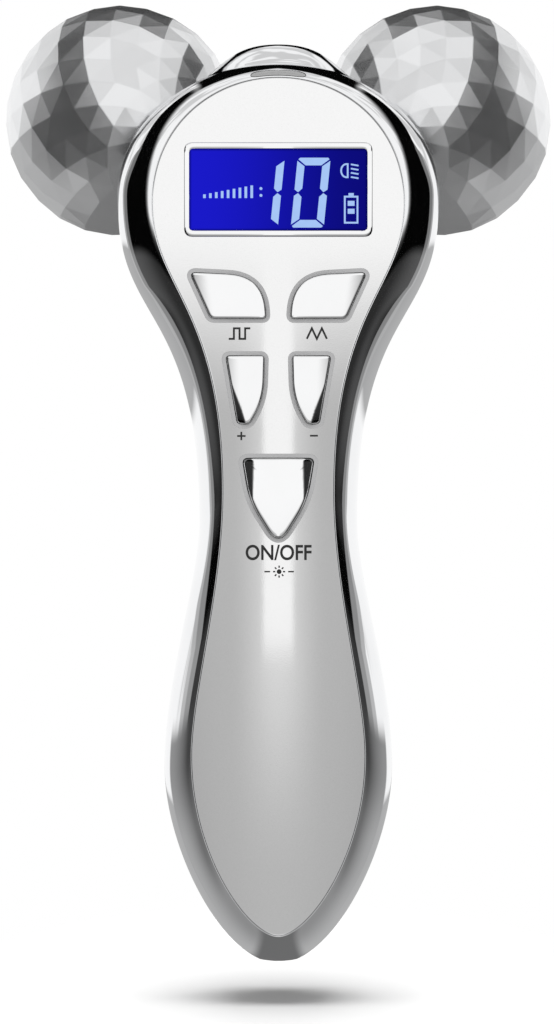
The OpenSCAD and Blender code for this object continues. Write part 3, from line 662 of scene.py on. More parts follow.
keys = {
    # corners as across, up and radius; rolls as the two ends of a line to roll off beyond, and a radius
    "upper": {"corners": [(-16.85, 8.75, 0.8), (-2.75, 8.0, 7.6), (-2.35, 0, 0.6), (-12.85, 0, 1.2)],
              "height": 122.38, "crest": -4.0, "round": 130.0, "lean": 1.0, "proud": 0.45, "soft": 0.24,
              "rolls": []},
    "small": {"corners": [(-10.0, -0.1, 0.7), (-2.65, -0.1, 0.7), (-2.9, -8.6, 14.5), (-5.6, -13.2, 1.5),
                          (-7.8, -12.9, 0.8)],
              "height": 115.4, "crest": 1.0, "round": 90.0, "lean": 1.8, "proud": 0.6, "soft": 0.3,
              "rolls": [((-9.3, -4.0), (-6.1, -13.0), 0.8), ((-5.2, -12.9), (-3.1, -7.5), 0.8)]},
    "power": {"corners": [(-6.85, 0, 1.0), (6.85, 0, 1.0), (5.55, -8.0, 18), (0, -16.8, 2.4),
                          (-5.55, -8.0, 18)],
              "height": 95.9, "crest": 0.0, "round": 90.0, "lean": 3.0, "proud": 0.42, "soft": 0.45,
              "rolls": [((-4.7, 0.0), (-4.85, -9.0), 0.5), ((4.85, -9.0), (4.7, 0.0), 0.5)]},
}
keyPieces = [
    ("upper", 1, "key_upper_left", "upper_left_key"), ("upper", -1, "key_upper_right", "upper_right_key"),
    ("small", 1, "key_plus", "plus_key"), ("small", -1, "key_minus", "minus_key"),
    ("power", 1, "key_power", "power_key")]
keyEdge = {"steepest": 0.37, "steps": 6, "gap": 0.08, "surround": 0.85, "slope": 0.2, "step": 0.05,
           "sunk": 2.2, "leanLow": 0.9, "leanHigh": 0.985,
           "faceShares": [0.06, 0.12, 0.19, 0.27, 0.36, 0.46, 0.57, 0.68, 0.79, 0.89, 0.96, 0.985]}
cutter = {"front": -1.0, "back": 4.0}


def keyDepth(values, side, point):
    # from the face plate's own surface: less proud at the top, curved across, rolled off where marked
    x, up = point.x * side, point.y - values["height"]
    middle = sum(corner[1] for corner in values["corners"]) / len(values["corners"])
    depth = faceDepth(point) - values["proud"] + (up - middle) * math.tan(math.radians(values["lean"]))
    depth += (x - values["crest"]) ** 2 / (2 * values["round"])
    for start, stop, radius in values["rolls"]:
        along = (Vector(stop) - Vector(start)).normalized()
        beyond = max(0.0, (Vector((x, up)) - Vector(start)).dot(Vector((along.y, -along.x))))
        turned = min(beyond, keyEdge["steepest"] * radius)
        depth += turned ** 2 / (2 * radius) + (beyond - turned) * keyEdge["steepest"]
    return depth


def keyOutline(values, side):
    points = shifted(roundedOutline(values["corners"]), 0, values["height"])
    return points if side > 0 else mirrored(points)


def makeKey(values, side, name):
    outline = keyOutline(values, side)

    def atFace(points, behind=0.0):
        return [placed(point, keyDepth(values, side, point) + behind) for point in points]

    rings = [onFace(outline, keyEdge["sunk"])]
    for step in range(keyEdge["steps"] + 1):
        angle = math.pi / 2 * step / keyEdge["steps"]
        rings.append(atFace(outward(outline, -values["soft"] * (1 - math.cos(angle))),
                            values["soft"] * (1 - math.sin(angle))))
    top = outward(outline, -values["soft"])
    middle = sum(top, Vector((0, 0))) / len(top)
    rings += [atFace([point.lerp(middle, share) for point in top]) for share in keyEdge["faceShares"]]
    return lofted(name, keyChrome, rings, sharpFrom["lofted"], filled=(0, -1))


def paintGrooveShade(piece, surfaceNormal):
    # the sloping floor of each groove takes the second finish, a matt grey that is painted shade and dull
    # reflection on the face plate's silver; its slope lies between face and edge
    piece.data.materials.append(grooveShadeGrey)
    for polygon in piece.data.polygons:
        lean = polygon.normal.dot(surfaceNormal(polygon.center))
        if keyEdge["leanLow"] < lean < keyEdge["leanHigh"]:
            polygon.material_index = 1


def surroundTool(values, side):
    outline = keyOutline(values, side)
    wide = outward(outline, keyEdge["surround"])
    narrow = outward(outline, keyEdge["gap"])
    return toolFrom([onFace(wide, cutter["front"]), onFace(wide, keyEdge["step"]),
                     onFace(narrow, keyEdge["step"] + keyEdge["slope"]), onFace(narrow, cutter["back"])])


for kind, side, node, body in keyPieces:
    piece = makeKey(keys[kind], side, "chrome_" + node)
    dress(piece, "key_chrome", node, body=body)
print("keys made")


# display

display = {"height": 146.8, "width": 35.6, "tall": 17.8, "corner": 1.5, "fieldWidth": 33.8,
           "fieldTall": 15.6, "fieldCorner": 0.8, "sunk": 0.35, "back": 1.3, "clear": 0.05, "points": 200,
           # the frame's section, as share of the way in and place behind the face
           "section": [(0.0, 1.2), (0.0, 0.0), (0.04, -0.03), (0.3, -0.05), (0.7, -0.05), (0.96, -0.03),
                       (1.0, 0.01), (1.0, 1.2)]}


def frameOutline(width, tall, corner):
    w, h = width / 2, tall / 2
    corners = [(-w, h, corner), (w, h, corner), (w, -h, corner), (-w, -h, corner)]
    return shifted(roundedOutline(corners, display["points"]), 0, display["height"])


outerFrame = frameOutline(display["width"], display["tall"], display["corner"])
innerFrame = frameOutline(display["fieldWidth"], display["fieldTall"], display["fieldCorner"])


def makeDisplayFrame():
    rings = [onFace(blend(outerFrame, innerFrame, share), behind) for share, behind in display["section"]]
    return lofted("displayFrame", keyChrome, rings, around=True)


def makeDisplayField():
    rings = [onFace(innerFrame, display["sunk"]), onFace(innerFrame, display["back"])]
    return lofted("displayField", displayBlue, rings, filled=(0, 1))


dress(makeDisplayFrame(), "white_plastic", "display_window")
dress(makeDisplayField(), "display", "display_glass")
windowEdge = outward(outerFrame, display["clear"])
windowTool = toolFrom([onFace(windowEdge, cutter["front"]), onFace(windowEdge, cutter["back"])])
cutAway(facePanel, [windowTool] + [surroundTool(keys[kind], side) for kind, side, node, body in keyPieces])
paintGrooveShade(facePanel, plateNormal)
settleNormals(facePanel, plateNormal)
dress(facePanel, "face_paint", "front_panel")
print("display set in the face")


# marks and lit figures

def stroke(points, width):
    # the outline of a line drawn with the given width, with mitred bends
    points = [Vector(point) for point in points]
    sides = ([], [])
    for index, point in enumerate(points):
        before = (point - points[index - 1]).normalized() if index else None
        after = (points[index + 1] - point).normalized() if index + 1 < len(points) else None
        along = ((before or after) + (after or before)).normalized()
        reach = width / 2 / max(marks["mitre"], along.dot(after or before))
        across = Vector((-along.y, along.x)) * reach
        sides[0].append(point + across)
        sides[1].append(point - across)
    return sides[0] + sides[1][::-1]


def within(points, left, bottom, width, tall):
    return [(left + x * width, bottom + z * tall) for x, z in points]


def slabPiece(name, finish, polygons, front, back):
    bm = bmesh.new()
    for polygon in polygons:
        bridgeRings(bm, [onFace(polygon, front), onFace(polygon, back)], filled=(0, 1))
    return newPiece(bm, name, finish)


marks = {"front": -0.02, "back": 0.08, "line": 0.38, "bar": 0.34, "mitre": 0.35,
         # left, bottom, width and height of the two waves
         "pulse": (-9.4, 118.5, 4.1, 2.0), "wave": (5.4, 118.5, 3.8, 2.0),
         "plus": (-7.01, 100.1), "plusEnds": (-7.8, -6.2), "plusHalf": 0.8,
         "minus": [(6.0, 100.15), (7.5, 100.15)]}
sun = {"middle": (0.15, 74.4), "disc": 0.46, "rays": (0.72, 1.15), "count": 8, "dashes": (1.7, 2.8),
       "line": 0.28}


def plusMark():
    (x, z), (left, right), half = marks["plus"], marks["plusEnds"], marks["plusHalf"]
    bar = marks["bar"]
    lines = [[(left, z), (x - bar / 2, z)], [(x + bar / 2, z), (right, z)], [(x, z - half), (x, z + half)]]
    return [stroke(line, bar) for line in lines]


def sunMark():
    x, z = sun["middle"]
    rays = list(zip(*[disc(x, z, radius, sun["count"]) for radius in sun["rays"]]))
    near, far = sun["dashes"]
    dashes = [((x - far, z), (x - near, z)), ((x + near, z), (x + far, z))]
    return [disc(x, z, sun["disc"])] + [stroke(line, sun["line"]) for line in rays + dashes]


def makeMarks():
    pulse = [(0, 0), (0.24, 0), (0.24, 1), (0.5, 1), (0.5, 0), (0.76, 0), (0.76, 1), (1, 1)]
    wave = [(0, 0), (0.25, 1), (0.5, 0), (0.75, 1), (1, 0)]
    shapes = {"pulseMark": [stroke(within(pulse, *marks["pulse"]), marks["line"])],
              "waveMark": [stroke(within(wave, *marks["wave"]), marks["line"])],
              "plusMark": plusMark(), "minusMark": [stroke(marks["minus"], marks["bar"])],
              "sunMark": sunMark()}
    for name, polygons in shapes.items():
        dress(slabPiece(name, greyPrint, polygons, marks["front"], marks["back"]), "black_plastic")


words = {"left": -6.2, "bottom": 76.55, "width": 12.5, "tall": 2.95, "bolder": 0.02, "extrude": 0.5,
         "steps": 6, "join": 1e-7}


def makeWords():
    curve = bpy.data.curves.new("switchWords", "FONT")
    curve.body = "ON/OFF"
    curve.extrude = words["extrude"]
    curve.offset = words["bolder"]
    curve.resolution_u = words["steps"]
    holder = bpy.data.objects.new("switchWords", curve)
    scene.collection.objects.link(holder)
    graph = bpy.context.evaluated_depsgraph_get()
    mesh = bpy.data.meshes.new_from_object(holder.evaluated_get(graph))
    bpy.data.objects.remove(holder)
    low = [min(vert.co[axis] for vert in mesh.vertices) for axis in range(2)]
    high = [max(vert.co[axis] for vert in mesh.vertices) for axis in range(2)]
    for vert in mesh.vertices:
        point = Vector((words["left"] + words["width"] * (vert.co.x - low[0]) / (high[0] - low[0]),
                        words["bottom"] + words["tall"] * (vert.co.y - low[1]) / (high[1] - low[1])))
        vert.co = placed(point, faceDepth(point) + (marks["front"] if vert.co.z > 0 else marks["back"]))
    bm = bmesh.new()
    bm.from_mesh(mesh)
    bmesh.ops.remove_doubles(bm, verts=bm.verts, dist=words["join"])
    dress(newPiece(bm, "switchWords", greyPrint), "black_plastic")


figures = {"front": 0.27, "back": 0.4, "thick": 1.45, "gap": 0.18, "slant": 0.1, "corner": 0.3,
           "low": 139.6, "half": 146.22, "high": 152.85, "one": (-7.0, -0.1), "nought": (2.35, 8.6),
           # how far an upright bar stops before the outer end, and from the half height inside and outside
           "stops": (0.4, 0.7, 0.5)}


def digitBars(left, right, names):
    # the bars of a seven-bar figure, cut on the slant where two meet
    wide, gap, corner = figures["thick"], figures["gap"], figures["corner"]
    low, half, high = figures["low"], figures["half"], figures["high"]
    endStop, innerStop, outerStop = figures["stops"]
    bars = {}
    for level, flat, end, way in (("upper", "top", high, 1), ("lower", "bottom", low, -1)):
        bars[flat] = [(left + gap + corner, end), (right - gap - corner, end),
                      (right - gap, end - way * corner), (right - wide - gap, end - way * wide),
                      (left + wide + gap, end - way * wide), (left + gap, end - way * corner)]
        for hand, outer, inward in (("Left", left, 1), ("Right", right, -1)):
            inner = outer + inward * wide
            bars[level + hand] = [(outer, end - way * (gap + endStop)), (inner, end - way * (wide + gap)),
                                  (inner, half + way * (gap / 2 + innerStop)),
                                  (outer + inward * wide / 2, half + way * gap / 2),
                                  (outer, half + way * (gap / 2 + outerStop))]
    return [[Vector((x + figures["slant"] * (z - low), z)) for x, z in bars[name]] for name in names]


ticks = {"count": 9, "first": -14.0, "apart": 1.12, "foot": 145.2, "shortest": 0.7, "growth": 0.21,
         "line": 0.5, "dots": ((-3.3, 145.7), (-3.3, 147.0)), "dotRadius": 0.28, "dotSteps": 16}
lampSign = {"middle": (12.9, 150.4), "reach": (1.0, 1.25), "steps": 12, "back": 13.0, "bar": 13.15,
            "barHalf": 1.4, "line": 0.32, "rays": 4, "ray": ((13.75, 151.6), (15.2, 151.35)), "apart": 0.8,
            "rayLine": 0.3}
battery = {"sides": (12.6, 15.0), "ends": (140.7, 145.3), "line": 0.34, "knobLine": 0.5,
           "knob": [(13.3, 145.9), (14.3, 145.9)], "cells": (144.2, 142.7), "cellSides": (13.15, 14.45),
           "cellLine": 0.95}


def tickLines():
    lines = []
    for step in range(ticks["count"]):
        x, foot = ticks["first"] + ticks["apart"] * step, ticks["foot"]
        tall = ticks["shortest"] + ticks["growth"] * step
        lines.append(stroke([(x, foot), (x, foot + tall)], ticks["line"]))
    return lines + [disc(*dot, ticks["dotRadius"], ticks["dotSteps"]) for dot in ticks["dots"]]


def lampLines():
    (x, z), (across, up), back = lampSign["middle"], lampSign["reach"], lampSign["back"]
    turns = [math.pi / 2 + math.pi * step / lampSign["steps"] for step in range(lampSign["steps"] + 1)]
    bend = [(x + across * math.cos(turn), z + up * math.sin(turn)) for turn in turns]
    half = lampSign["barHalf"]
    lines = [stroke([(back, z + up)] + bend + [(back, z - up)], lampSign["line"]),
             stroke([(lampSign["bar"], z - half), (lampSign["bar"], z + half)], lampSign["line"])]
    for row in range(lampSign["rays"]):
        ray = [(left, height - lampSign["apart"] * row) for left, height in lampSign["ray"]]
        lines.append(stroke(ray, lampSign["rayLine"]))
    return lines


def batteryLines():
    (left, right), (foot, head), line = battery["sides"], battery["ends"], battery["line"]
    half = line / 2
    lines = [stroke([(x, foot), (x, head)], line) for x in (left, right)]
    lines += [stroke([(left - half, z), (right + half, z)], line) for z in (head + half, foot - half)]
    lines.append(stroke(battery["knob"], battery["knobLine"]))
    for z in battery["cells"]:
        lines.append(stroke([(x, z) for x in battery["cellSides"]], battery["cellLine"]))
    return lines


def makeFigures():
    digits = digitBars(*figures["one"], ("upperRight", "lowerRight"))
    digits += digitBars(*figures["nought"],
                        ("top", "bottom", "upperLeft", "lowerLeft", "upperRight", "lowerRight"))
    shapes = {"litFigures": digits, "litTicks": tickLines(), "litLamp": lampLines(),
              "litBattery": batteryLines()}
    for name, polygons in shapes.items():
        dress(slabPiece(name, litSegment, polygons, figures["front"], figures["back"]), "display")


makeMarks()
makeWords()
makeFigures()
print("marks and figures set")


# lens, holes and turned parts

lens = {"near": 0.22, "far": 1.2, "half": 5.2, "proud": 0.05, "thick": 1.4, "clear": 0.1, "rimWide": 2.8,
        "edgeRound": 26.0, "steps": 24, "squareness": 8, "least": 0.02, "cut": (1.6, -1.2),
        "rounding": [(0, 0.12), (0.05, 0.04), (0.14, 0.0), (0.3, -0.02), (0.45, -0.03)]}


def lensEdge(x):
    # the face plate's upper edge, as the line that the lens follows
    return facePlate["top"] - x * x / (2 * lens["edgeRound"])


def lensPlace(x, out, behind):
    point = Vector((x, lensEdge(x) + out))
    along = math.sqrt(max(0.0, 1 - (out / lens["rimWide"]) ** 2))
    return placed(point, faceDepth(point) * along - lens["proud"] + behind)


def lensRings(grow, fronts):
    span, mid = lens["half"] + grow, (lens["near"] + lens["far"]) / 2
    half = (lens["far"] - lens["near"]) / 2 + grow
    turns = [math.pi * (step + 0.5) / lens["steps"] for step in range(lens["steps"])]
    loop = [(-side * span * math.cos(turn), side) for side in (1, -1) for turn in turns]
    rings = []
    for inset, behind in fronts:
        ring = []
        for x, side in loop:
            rounding = math.sqrt(max(0.0, 1 - (abs(x) / span) ** lens["squareness"]))
            reach = max(lens["least"], (half - inset) * rounding)
            ring.append(lensPlace(x * (1 - inset / span), mid + side * reach, behind))
        rings.append(ring)
    return rings


def makeLens():
    rings = lensRings(0, [(0, lens["thick"])] + lens["rounding"])
    return lofted("topLens", smokedLens, rings, filled=(0, -1))


axle = {"height": 143.2, "depth": -11.9, "splay": math.radians(33.3), "rise": math.radians(16.7),
        "steps": 72}
collar = {"radius": 6.0, "bore": 2.6, "mouth": 0.3, "bevel": 0.2, "start": 25.55, "end": 34.9, "clear": 0.1,
          # the bead at the far end, as reach past the radius and place before the end
          "bead": [(0, 3.6), (0.25, 3.05), (0.8, 2.6), (0.9, 2.4), (0.9, 2.0), (0.8, 1.75), (-0.5, 0.25),
                   (-0.8, 0)]}
cap = {"radius": 6.6, "end": 78.07, "domeFoot": 0.9, "domeTall": 1.3, "steps": 12, "wall": 1, "inside": 1.8,
       "skirt": 4.95, "middle": 0.4}
ball = {"bevel": 0.09, "ridge": (math.radians(3), math.radians(32)), "shortest": 0.001, "join": 1e-6,
        "flat": math.radians(0.5)}


def turnedRings(side, profile):
    way = Vector((-side * math.cos(axle["rise"]) * math.sin(axle["splay"]),
                  math.cos(axle["rise"]) * math.cos(axle["splay"]), math.sin(axle["rise"])))
    across = way.cross(Vector((0, 0, 1))).normalized()
    other = way.cross(across)
    base = Vector((0, axle["depth"], axle["height"]))
    turns = [2 * math.pi * i / axle["steps"] for i in range(axle["steps"])]
    return [[(base + way * reach + (across * math.cos(turn) + other * math.sin(turn)) * radius) * mm
             for turn in turns] for radius, reach in profile]


def makeCollar(side, name):
    start, end, radius, bore = (collar[part] for part in ("start", "end", "radius", "bore"))
    profile = [(bore, start), (radius - collar["bevel"], start), (radius, start + collar["bevel"])]
    profile += [(radius + out, end - before) for out, before in collar["bead"]]
    profile += [(bore + collar["mouth"], end), (bore, end - collar["mouth"])]
    return lofted(name, mirrorChrome, turnedRings(side, profile), around=True)


def makeCap(side, name):
    radius, end = cap["radius"], cap["end"]
    inner, inside, skirt = radius - cap["wall"], end - cap["inside"], end - cap["skirt"]
    profile = [(cap["middle"], inside), (inner, inside), (inner, skirt), (radius, skirt)]
    for step in range(cap["steps"]):
        angle = math.pi / 2 * step / cap["steps"]
        profile.append((radius * math.cos(angle), end - cap["domeFoot"] + cap["domeTall"] * math.sin(angle)))
    return lofted(name, mirrorChrome, turnedRings(side, profile), filled=(0, -1))


def makeBall(node, name):
    # the node's own facets, with a fine bevel along the ridges between them
    bm = bmesh.new()
    bm.from_mesh(nodes[node].data)
    bmesh.ops.transform(bm, matrix=nodes[node].matrix_world, verts=bm.verts)
    bmesh.ops.remove_doubles(bm, verts=bm.verts, dist=ball["join"])
    bmesh.ops.dissolve_limit(bm, angle_limit=ball["flat"], verts=bm.verts, edges=bm.edges)
    low, high = ball["ridge"]
    ridges = [edge for edge in bm.edges
              if low < edge.calc_face_angle(0.0) < high and edge.calc_length() > ball["shortest"]]
    bmesh.ops.bevel(bm, geom=ridges, offset=ball["bevel"] * mm, offset_type="OFFSET", segments=1,
                    profile=0.5, affect="EDGES", material=-1, clamp_overlap=True)
    return newPiece(bm, name, facetChrome, sharpFrom["facets"])


for side, hand in ((1, "left"), (-1, "right")):
    roller = hand + "_roller"
    dress(makeCollar(side, "collarTurned_" + hand), "chrome", "collar_" + hand)
    dress(makeCap(side, "capTurned_" + hand), "chrome", "cap_" + hand, body=roller)
    dress(makeBall("ball_" + hand, "facetBall_" + hand), "ball_chrome", "ball_" + hand, body=roller)


holes = {"port": 3.5, "portSpan": (-3, 10), "lamp": 4.1, "lampHeight": 148.5, "lampSpan": (2, 20),
         "collarSpan": (24.5, 36.5), "steps": 64}


def portTool():
    circle = disc(0, 0, holes["port"], holes["steps"])
    return toolFrom([[Vector((point.x, point.y, height)) * mm for point in circle]
                     for height in holes["portSpan"]])


def lampTool():
    circle = disc(0, holes["lampHeight"], holes["lamp"], holes["steps"])
    return toolFrom([[placed(point, depth) for point in circle] for depth in holes["lampSpan"]])


def collarTool(side):
    radius = collar["radius"] + collar["clear"]
    return toolFrom(turnedRings(side, [(radius, reach) for reach in holes["collarSpan"]]))


lensTool = toolFrom(lensRings(lens["clear"], [(0, behind) for behind in lens["cut"]]))
cutAway(rimShell, [lensTool, portTool()], sharpFrom["lofted"])
cutAway(backShell, [collarTool(1), collarTool(-1), lampTool(), portTool()], sharpFrom["lofted"])
dress(makeLens(), "smoked_lens", "indicator_lens")
dress(rimShell, "chrome", "chrome_rim")
dress(backShell, "chrome", "back_shell")
print("lens, holes and turned parts done")


# studio

studio = {
    # shares of light
    "lowFront": 0.50, "lowFar": 0.29, "lowWide": 0.46, "tipDark": 0.16, "centreTones": (0.50, 0.74),
    "black": 0.0015, "strip": 0.98, "domeForMatt": 0.85, "patchShade": 0.32, "patchSize": 5.0,
    # where each tone starts and stops: by turn from straight ahead, sideways, upwards, height or slimness
    "nearTurn": (0.03, 0.14), "farTurn": (0.25, 0.85), "centreSlim": (0.105, 0.0),
    "centreTurn": (0.10, 0.05), "centreHeight": (-0.15, -0.05), "tipUp": (-0.08, -0.14),
    "tipLean": (0.66, 0.42), "horizon": (0.008, 0.032), "patchCut": (0.44, 0.56),
    "patchTurn": (0.14, 0.24), "patchUp": (0.02, 0.10), "wingSide": (0.58, 0.70), "wingUp": (-0.20, -0.12),
    "stripSlim": (0.039, 0.031), "stripHeight": (-0.066, -0.058),
    # the dark bar: start and slope of its inner and outer line, and how softly each one fades
    "barInner": (0.72, 1.6), "barInnerSoft": (-0.02, 0.05), "barOuter": (0.17, 0.30),
    "barOuterSoft": (-0.01, 0.03), "barSteep": 1.25, "barFoot": (0.0, 0.06),
    # the least that a share is divided by
    "least": 0.0001, "leastAhead": 0.05}


def between(tree, value, start, stop, soft):
    return times(tree, rise(tree, value, start - soft, start + soft),
                 rise(tree, value, stop + soft, stop - soft))


def mixed(tree, share, first, second):
    # first where share is 0, second where it is 1
    return plus(tree, times(tree, minus(tree, 1.0, share), first), times(tree, share, second))


def lowLight(tree, turn, slim, z, upwards, lean):
    # grey, lightest along the centre line and far to the sides, dark straight down
    low = rise(tree, turn, *studio["nearTurn"], studio["lowFront"], studio["lowFar"])
    low = most(tree, low, rise(tree, turn, *studio["farTurn"], studio["lowFar"], studio["lowWide"]))
    centre = times(tree, rise(tree, slim, *studio["centreSlim"]), rise(tree, turn, *studio["centreTurn"]))
    low = mixed(tree, centre, low, rise(tree, z, *studio["centreHeight"], *studio["centreTones"]))
    under = times(tree, rise(tree, upwards, *studio["tipUp"]), rise(tree, lean, *studio["tipLean"]))
    return mixed(tree, under, low, studio["tipDark"])


def patchLight(tree, way, turn, upwards):
    # soft patches high up, which the facets of the balls pick out one by one
    patches = noise(tree, way, studio["patchSize"], detail=1.0)
    shade = rise(tree, patches, *studio["patchCut"], 0.0, studio["patchShade"])
    place = times(tree, rise(tree, turn, *studio["patchTurn"]), rise(tree, upwards, *studio["patchUp"]))
    return minus(tree, 1.0, times(tree, shade, place))


def overheadBar(tree, sideways, upwards):
    # a dark bar overhead that comes down a little at both sides
    (innerStart, innerSlope), (outerStart, outerSlope) = studio["barInner"], studio["barOuter"]
    inner = times(tree, minus(tree, innerStart, upwards), innerSlope)
    outer = plus(tree, outerStart, times(tree, upwards, outerSlope))
    bar = times(tree, rise(tree, minus(tree, sideways, inner), *studio["barInnerSoft"]),
                rise(tree, minus(tree, outer, sideways), *studio["barOuterSoft"]))
    steep = minus(tree, upwards, times(tree, sideways, studio["barSteep"]))
    return times(tree, bar, rise(tree, steep, *studio["barFoot"]))


def makeWorld():
    world = bpy.data.worlds.new("studio")
    scene.world = world
    world.use_nodes = True
    tree = world.node_tree
    tree.nodes.clear()
    way = addNode(tree, "ShaderNodeTexCoord").outputs["Generated"]
    x, y, z = addNode(tree, "ShaderNodeSeparateXYZ", {"Vector": way}).outputs
    side = maths(tree, "ABSOLUTE", x)
    ahead, down = times(tree, y, -1.0), times(tree, z, -1.0)
    turn = over(tree, maths(tree, "ARCCOSINE", ahead), math.pi)
    flat = maths(tree, "SQRT", plus(tree, times(tree, x, x), times(tree, z, z)))
    flat = most(tree, flat, studio["least"])
    sideways = times(tree, turn, over(tree, side, flat))
    upwards = times(tree, turn, over(tree, z, flat))
    slim = over(tree, side, most(tree, ahead, studio["leastAhead"]))
    lean = over(tree, side, most(tree, down, studio["least"]))
    low = lowLight(tree, turn, slim, z, upwards, lean)
    light = mixed(tree, rise(tree, upwards, *studio["horizon"]), low, 1.0)
    light = times(tree, light, patchLight(tree, way, turn, upwards))
    wings = times(tree, rise(tree, sideways, *studio["wingSide"]), rise(tree, upwards, *studio["wingUp"]))
    light = most(tree, light, wings)
    light = mixed(tree, overheadBar(tree, sideways, upwards), light, studio["black"])
    # a narrow bright strip in front
    strip = times(tree, rise(tree, slim, *studio["stripSlim"]), rise(tree, z, *studio["stripHeight"]))
    strip = times(tree, strip, rise(tree, turn, *studio["centreTurn"]))
    light = most(tree, light, times(tree, strip, studio["strip"]))
    rays = addNode(tree, "ShaderNodeLightPath")
    plain = most(tree, rays.outputs["Is Camera Ray"], rays.outputs["Is Transmission Ray"])
    total = mixed(tree, rays.outputs["Is Glossy Ray"], studio["domeForMatt"], light)
    total = mixed(tree, plain, total, 1.0)
    back = addNode(tree, "ShaderNodeBackground", {"Color": (1.0, 1.0, 1.0, 1.0), "Strength": total})
    addNode(tree, "ShaderNodeOutputWorld", {"Surface": back.outputs[0]})


def hideFromCamera(piece):
    piece.visible_camera = False
    piece.visible_diffuse = False
    piece.visible_transmission = False
    piece.visible_shadow = False


card = {
    "away": 0.1, "front": -0.5, "back": 0.22, "bottom": -0.065, "top": 0.345,
    # start and stop, mostly by height, then the two values there
    "edge": (0.070, 0.094, -0.060, 0.018), "edgeHead": (0.150, 0.178, 0.0, -0.017),
    "pastLow": (0.080, 0.094, 0.45, 1.0), "upper": (0.042, 0.054),
    "frontLine": (0.145, 0.205, -0.245, -0.090), "frontSoft": (0.147, 0.200, 0.115, 0.030),
    "shoulder": (-0.110, 0.004, 0.0, 0.070), "shoulderLeast": 0.026,
    "blackTone": (0.077, 0.062, 0.001, 0.045), "trimTone": (0.094, 0.080, 0.20, 0.28),
    "firstTrim": (0.0, 0.004), "lastTrim": (0.019, 0.024), "lastTone": 0.20,
    "lowTone": (-0.105, 0.060, 0.06, 0.30), "lowRise": (0.030, -0.010, 0.0, 0.11),
    "trimsWide": (0.175, 0.200, 0.034, 0.0), "coverSoft": (0.002, -0.002), "coverTop": (0.335, 0.290),
    "lowCoverBack": (0.09, 0.07), "lowCoverFoot": (-0.060, -0.015),
    # start and slope of the two lines above the head, then bottom, top and softness of the shoulder
    "edgeTop": (0.188, 1.35), "frontTop": (0.200, 1.4), "shoulderHeight": (0.089, 0.116, 0.005)}


def pastFrom(tree, value, start, slope):
    return times(tree, most(tree, minus(tree, value, start), 0.0), slope)


def cardTone(tree, y, z, past, upper):
    # black above with a grey shoulder and two trims along its back edge, grey below
    shoulder = plus(tree, rise(tree, past, *card["shoulder"]), card["shoulderLeast"])
    shoulder = times(tree, shoulder, between(tree, z, *card["shoulderHeight"]))
    tone = plus(tree, rise(tree, z, *card["blackTone"]), shoulder)
    trim = times(tree, rise(tree, past, *card["firstTrim"]), rise(tree, z, *card["trimTone"]))
    tone = plus(tree, tone, trim)
    tone = plus(tree, tone, times(tree, rise(tree, past, *card["lastTrim"]), card["lastTone"]))
    lowTone = plus(tree, rise(tree, y, *card["lowTone"]), rise(tree, z, *card["lowRise"]))
    return mixed(tree, upper, lowTone, tone)


def cardCover(tree, y, z, past, upper):
    # where the card hides what is behind it, with a soft front line that leans back higher up
    line = plus(tree, rise(tree, z, *card["frontLine"]), pastFrom(tree, z, *card["frontTop"]))
    soft = rise(tree, z, *card["frontSoft"])
    front = rise(tree, y, minus(tree, line, soft), plus(tree, line, soft))
    trims = rise(tree, z, *card["trimsWide"])
    cover = rise(tree, minus(tree, past, trims), *card["coverSoft"])
    cover = times(tree, cover, rise(tree, z, *card["coverTop"]))
    lowCover = times(tree, rise(tree, y, *card["lowCoverBack"]), rise(tree, z, *card["lowCoverFoot"]))
    return times(tree, mixed(tree, upper, lowCover, cover), front)


def makeCards():
    # a card at each side, seen in the chrome alone
    made, tree = newMaterial("sideCard")
    coords = addNode(tree, "ShaderNodeTexCoord")
    x, y, z = addNode(tree, "ShaderNodeSeparateXYZ", {"Vector": coords.outputs["Object"]}).outputs
    edge = plus(tree, rise(tree, z, *card["edge"], form="LINEAR"), rise(tree, z, *card["edgeHead"]))
    edge = plus(tree, edge, pastFrom(tree, z, *card["edgeTop"]))
    past = times(tree, minus(tree, y, edge), rise(tree, z, *card["pastLow"]))
    upper = rise(tree, z, *card["upper"])
    cover, tone = cardCover(tree, y, z, past, upper), cardTone(tree, y, z, past, upper)
    through = addNode(tree, "ShaderNodeBsdfTransparent")
    glow = addNode(tree, "ShaderNodeEmission", {"Color": (1.0, 1.0, 1.0, 1.0), "Strength": tone})
    mix = addNode(tree, "ShaderNodeMixShader", {"Fac": cover, 1: through.outputs[0], 2: glow.outputs[0]})
    closeSurface(tree, mix)
    corners = [(card["front"], card["bottom"]), (card["back"], card["bottom"]), (card["back"], card["top"]),
               (card["front"], card["top"])]
    for side, hand in ((-1, "left"), (1, "right")):
        bm = bmesh.new()
        circle = bmesh.ops.create_circle(bm, segments=4, radius=mm, cap_ends=True)["verts"]
        for vert, (depth, height) in zip(circle, corners):
            vert.co = (side * card["away"], depth, height)
        hideFromCamera(newPiece(bm, "sideCard_" + hand, made))


makeWorld()
makeCards()

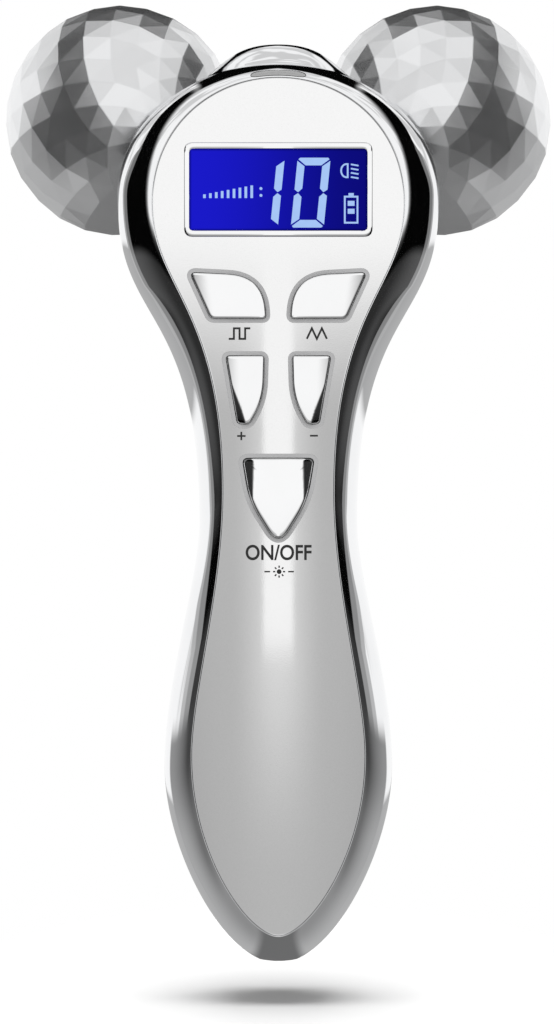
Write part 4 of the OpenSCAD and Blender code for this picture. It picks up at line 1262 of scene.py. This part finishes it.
floorValues = {"half": 0.10, "cells": 40, "depthShare": 0.72, "fadeFrom": 0.044, "fadeTo": 0.068,
               "below": -0.0077, "slope": 0.175, "colour": 0.445, "darker": 0.99, "grain": 40.0,
               "lampPower": 3.6, "lampHeight": 0.36, "lampSize": 0.28}


def floorFinish():
    # matt in the middle, fading out over an ellipse
    made, tree = newMaterial("paleFloor")
    cloud = noise(tree, objectPlace(tree), floorValues["grain"])
    tone = twoTones(tree, cloud, grey(floorValues["colour"] * floorValues["darker"]),
                    grey(floorValues["colour"]))
    matt = addNode(tree, "ShaderNodeBsdfDiffuse", {"Color": tone})
    flat = objectPlace(tree, (1, floorValues["depthShare"], 0))
    away = addNode(tree, "ShaderNodeVectorMath", {0: flat}, operation="LENGTH").outputs["Value"]
    fade = rise(tree, away, floorValues["fadeFrom"], floorValues["fadeTo"])
    through = addNode(tree, "ShaderNodeBsdfTransparent")
    closeSurface(tree, addNode(tree, "ShaderNodeMixShader",
                               {"Fac": fade, 1: matt.outputs[0], 2: through.outputs[0]}))
    return made


def makeFloor():
    bm = bmesh.new()
    cells = floorValues["cells"]
    grid = bmesh.ops.create_grid(bm, x_segments=cells, y_segments=cells, size=floorValues["half"])["verts"]
    for vert in grid:
        vert.co.z = floorValues["below"] + floorValues["slope"] * vert.co.y
    floor = newPiece(bm, "floor", floorFinish())
    floor.visible_glossy = False
    floor.visible_diffuse = False
    return floor


def makeFloorLamp(floor):
    # lights the floor alone, with the casing's shadow on it
    lamp = bpy.data.lights.new("floorLamp", "AREA")
    lamp.energy = floorValues["lampPower"]
    lamp.size = floorValues["lampSize"]
    holder = bpy.data.objects.new("floorLamp", lamp)
    holder.location = (0, 0, floorValues["lampHeight"])
    scene.collection.objects.link(holder)
    receivers = bpy.data.collections.new("floorOnly")
    receivers.objects.link(floor)
    holder.light_linking.receiver_collection = receivers
    casters = bpy.data.collections.new("bodyShadow")
    for piece in (rimShell, facePanel, backShell):
        casters.objects.link(piece)
    holder.light_linking.blocker_collection = casters


makeFloorLamp(makeFloor())
scene.view_settings.view_transform = "Standard"
print("studio set")
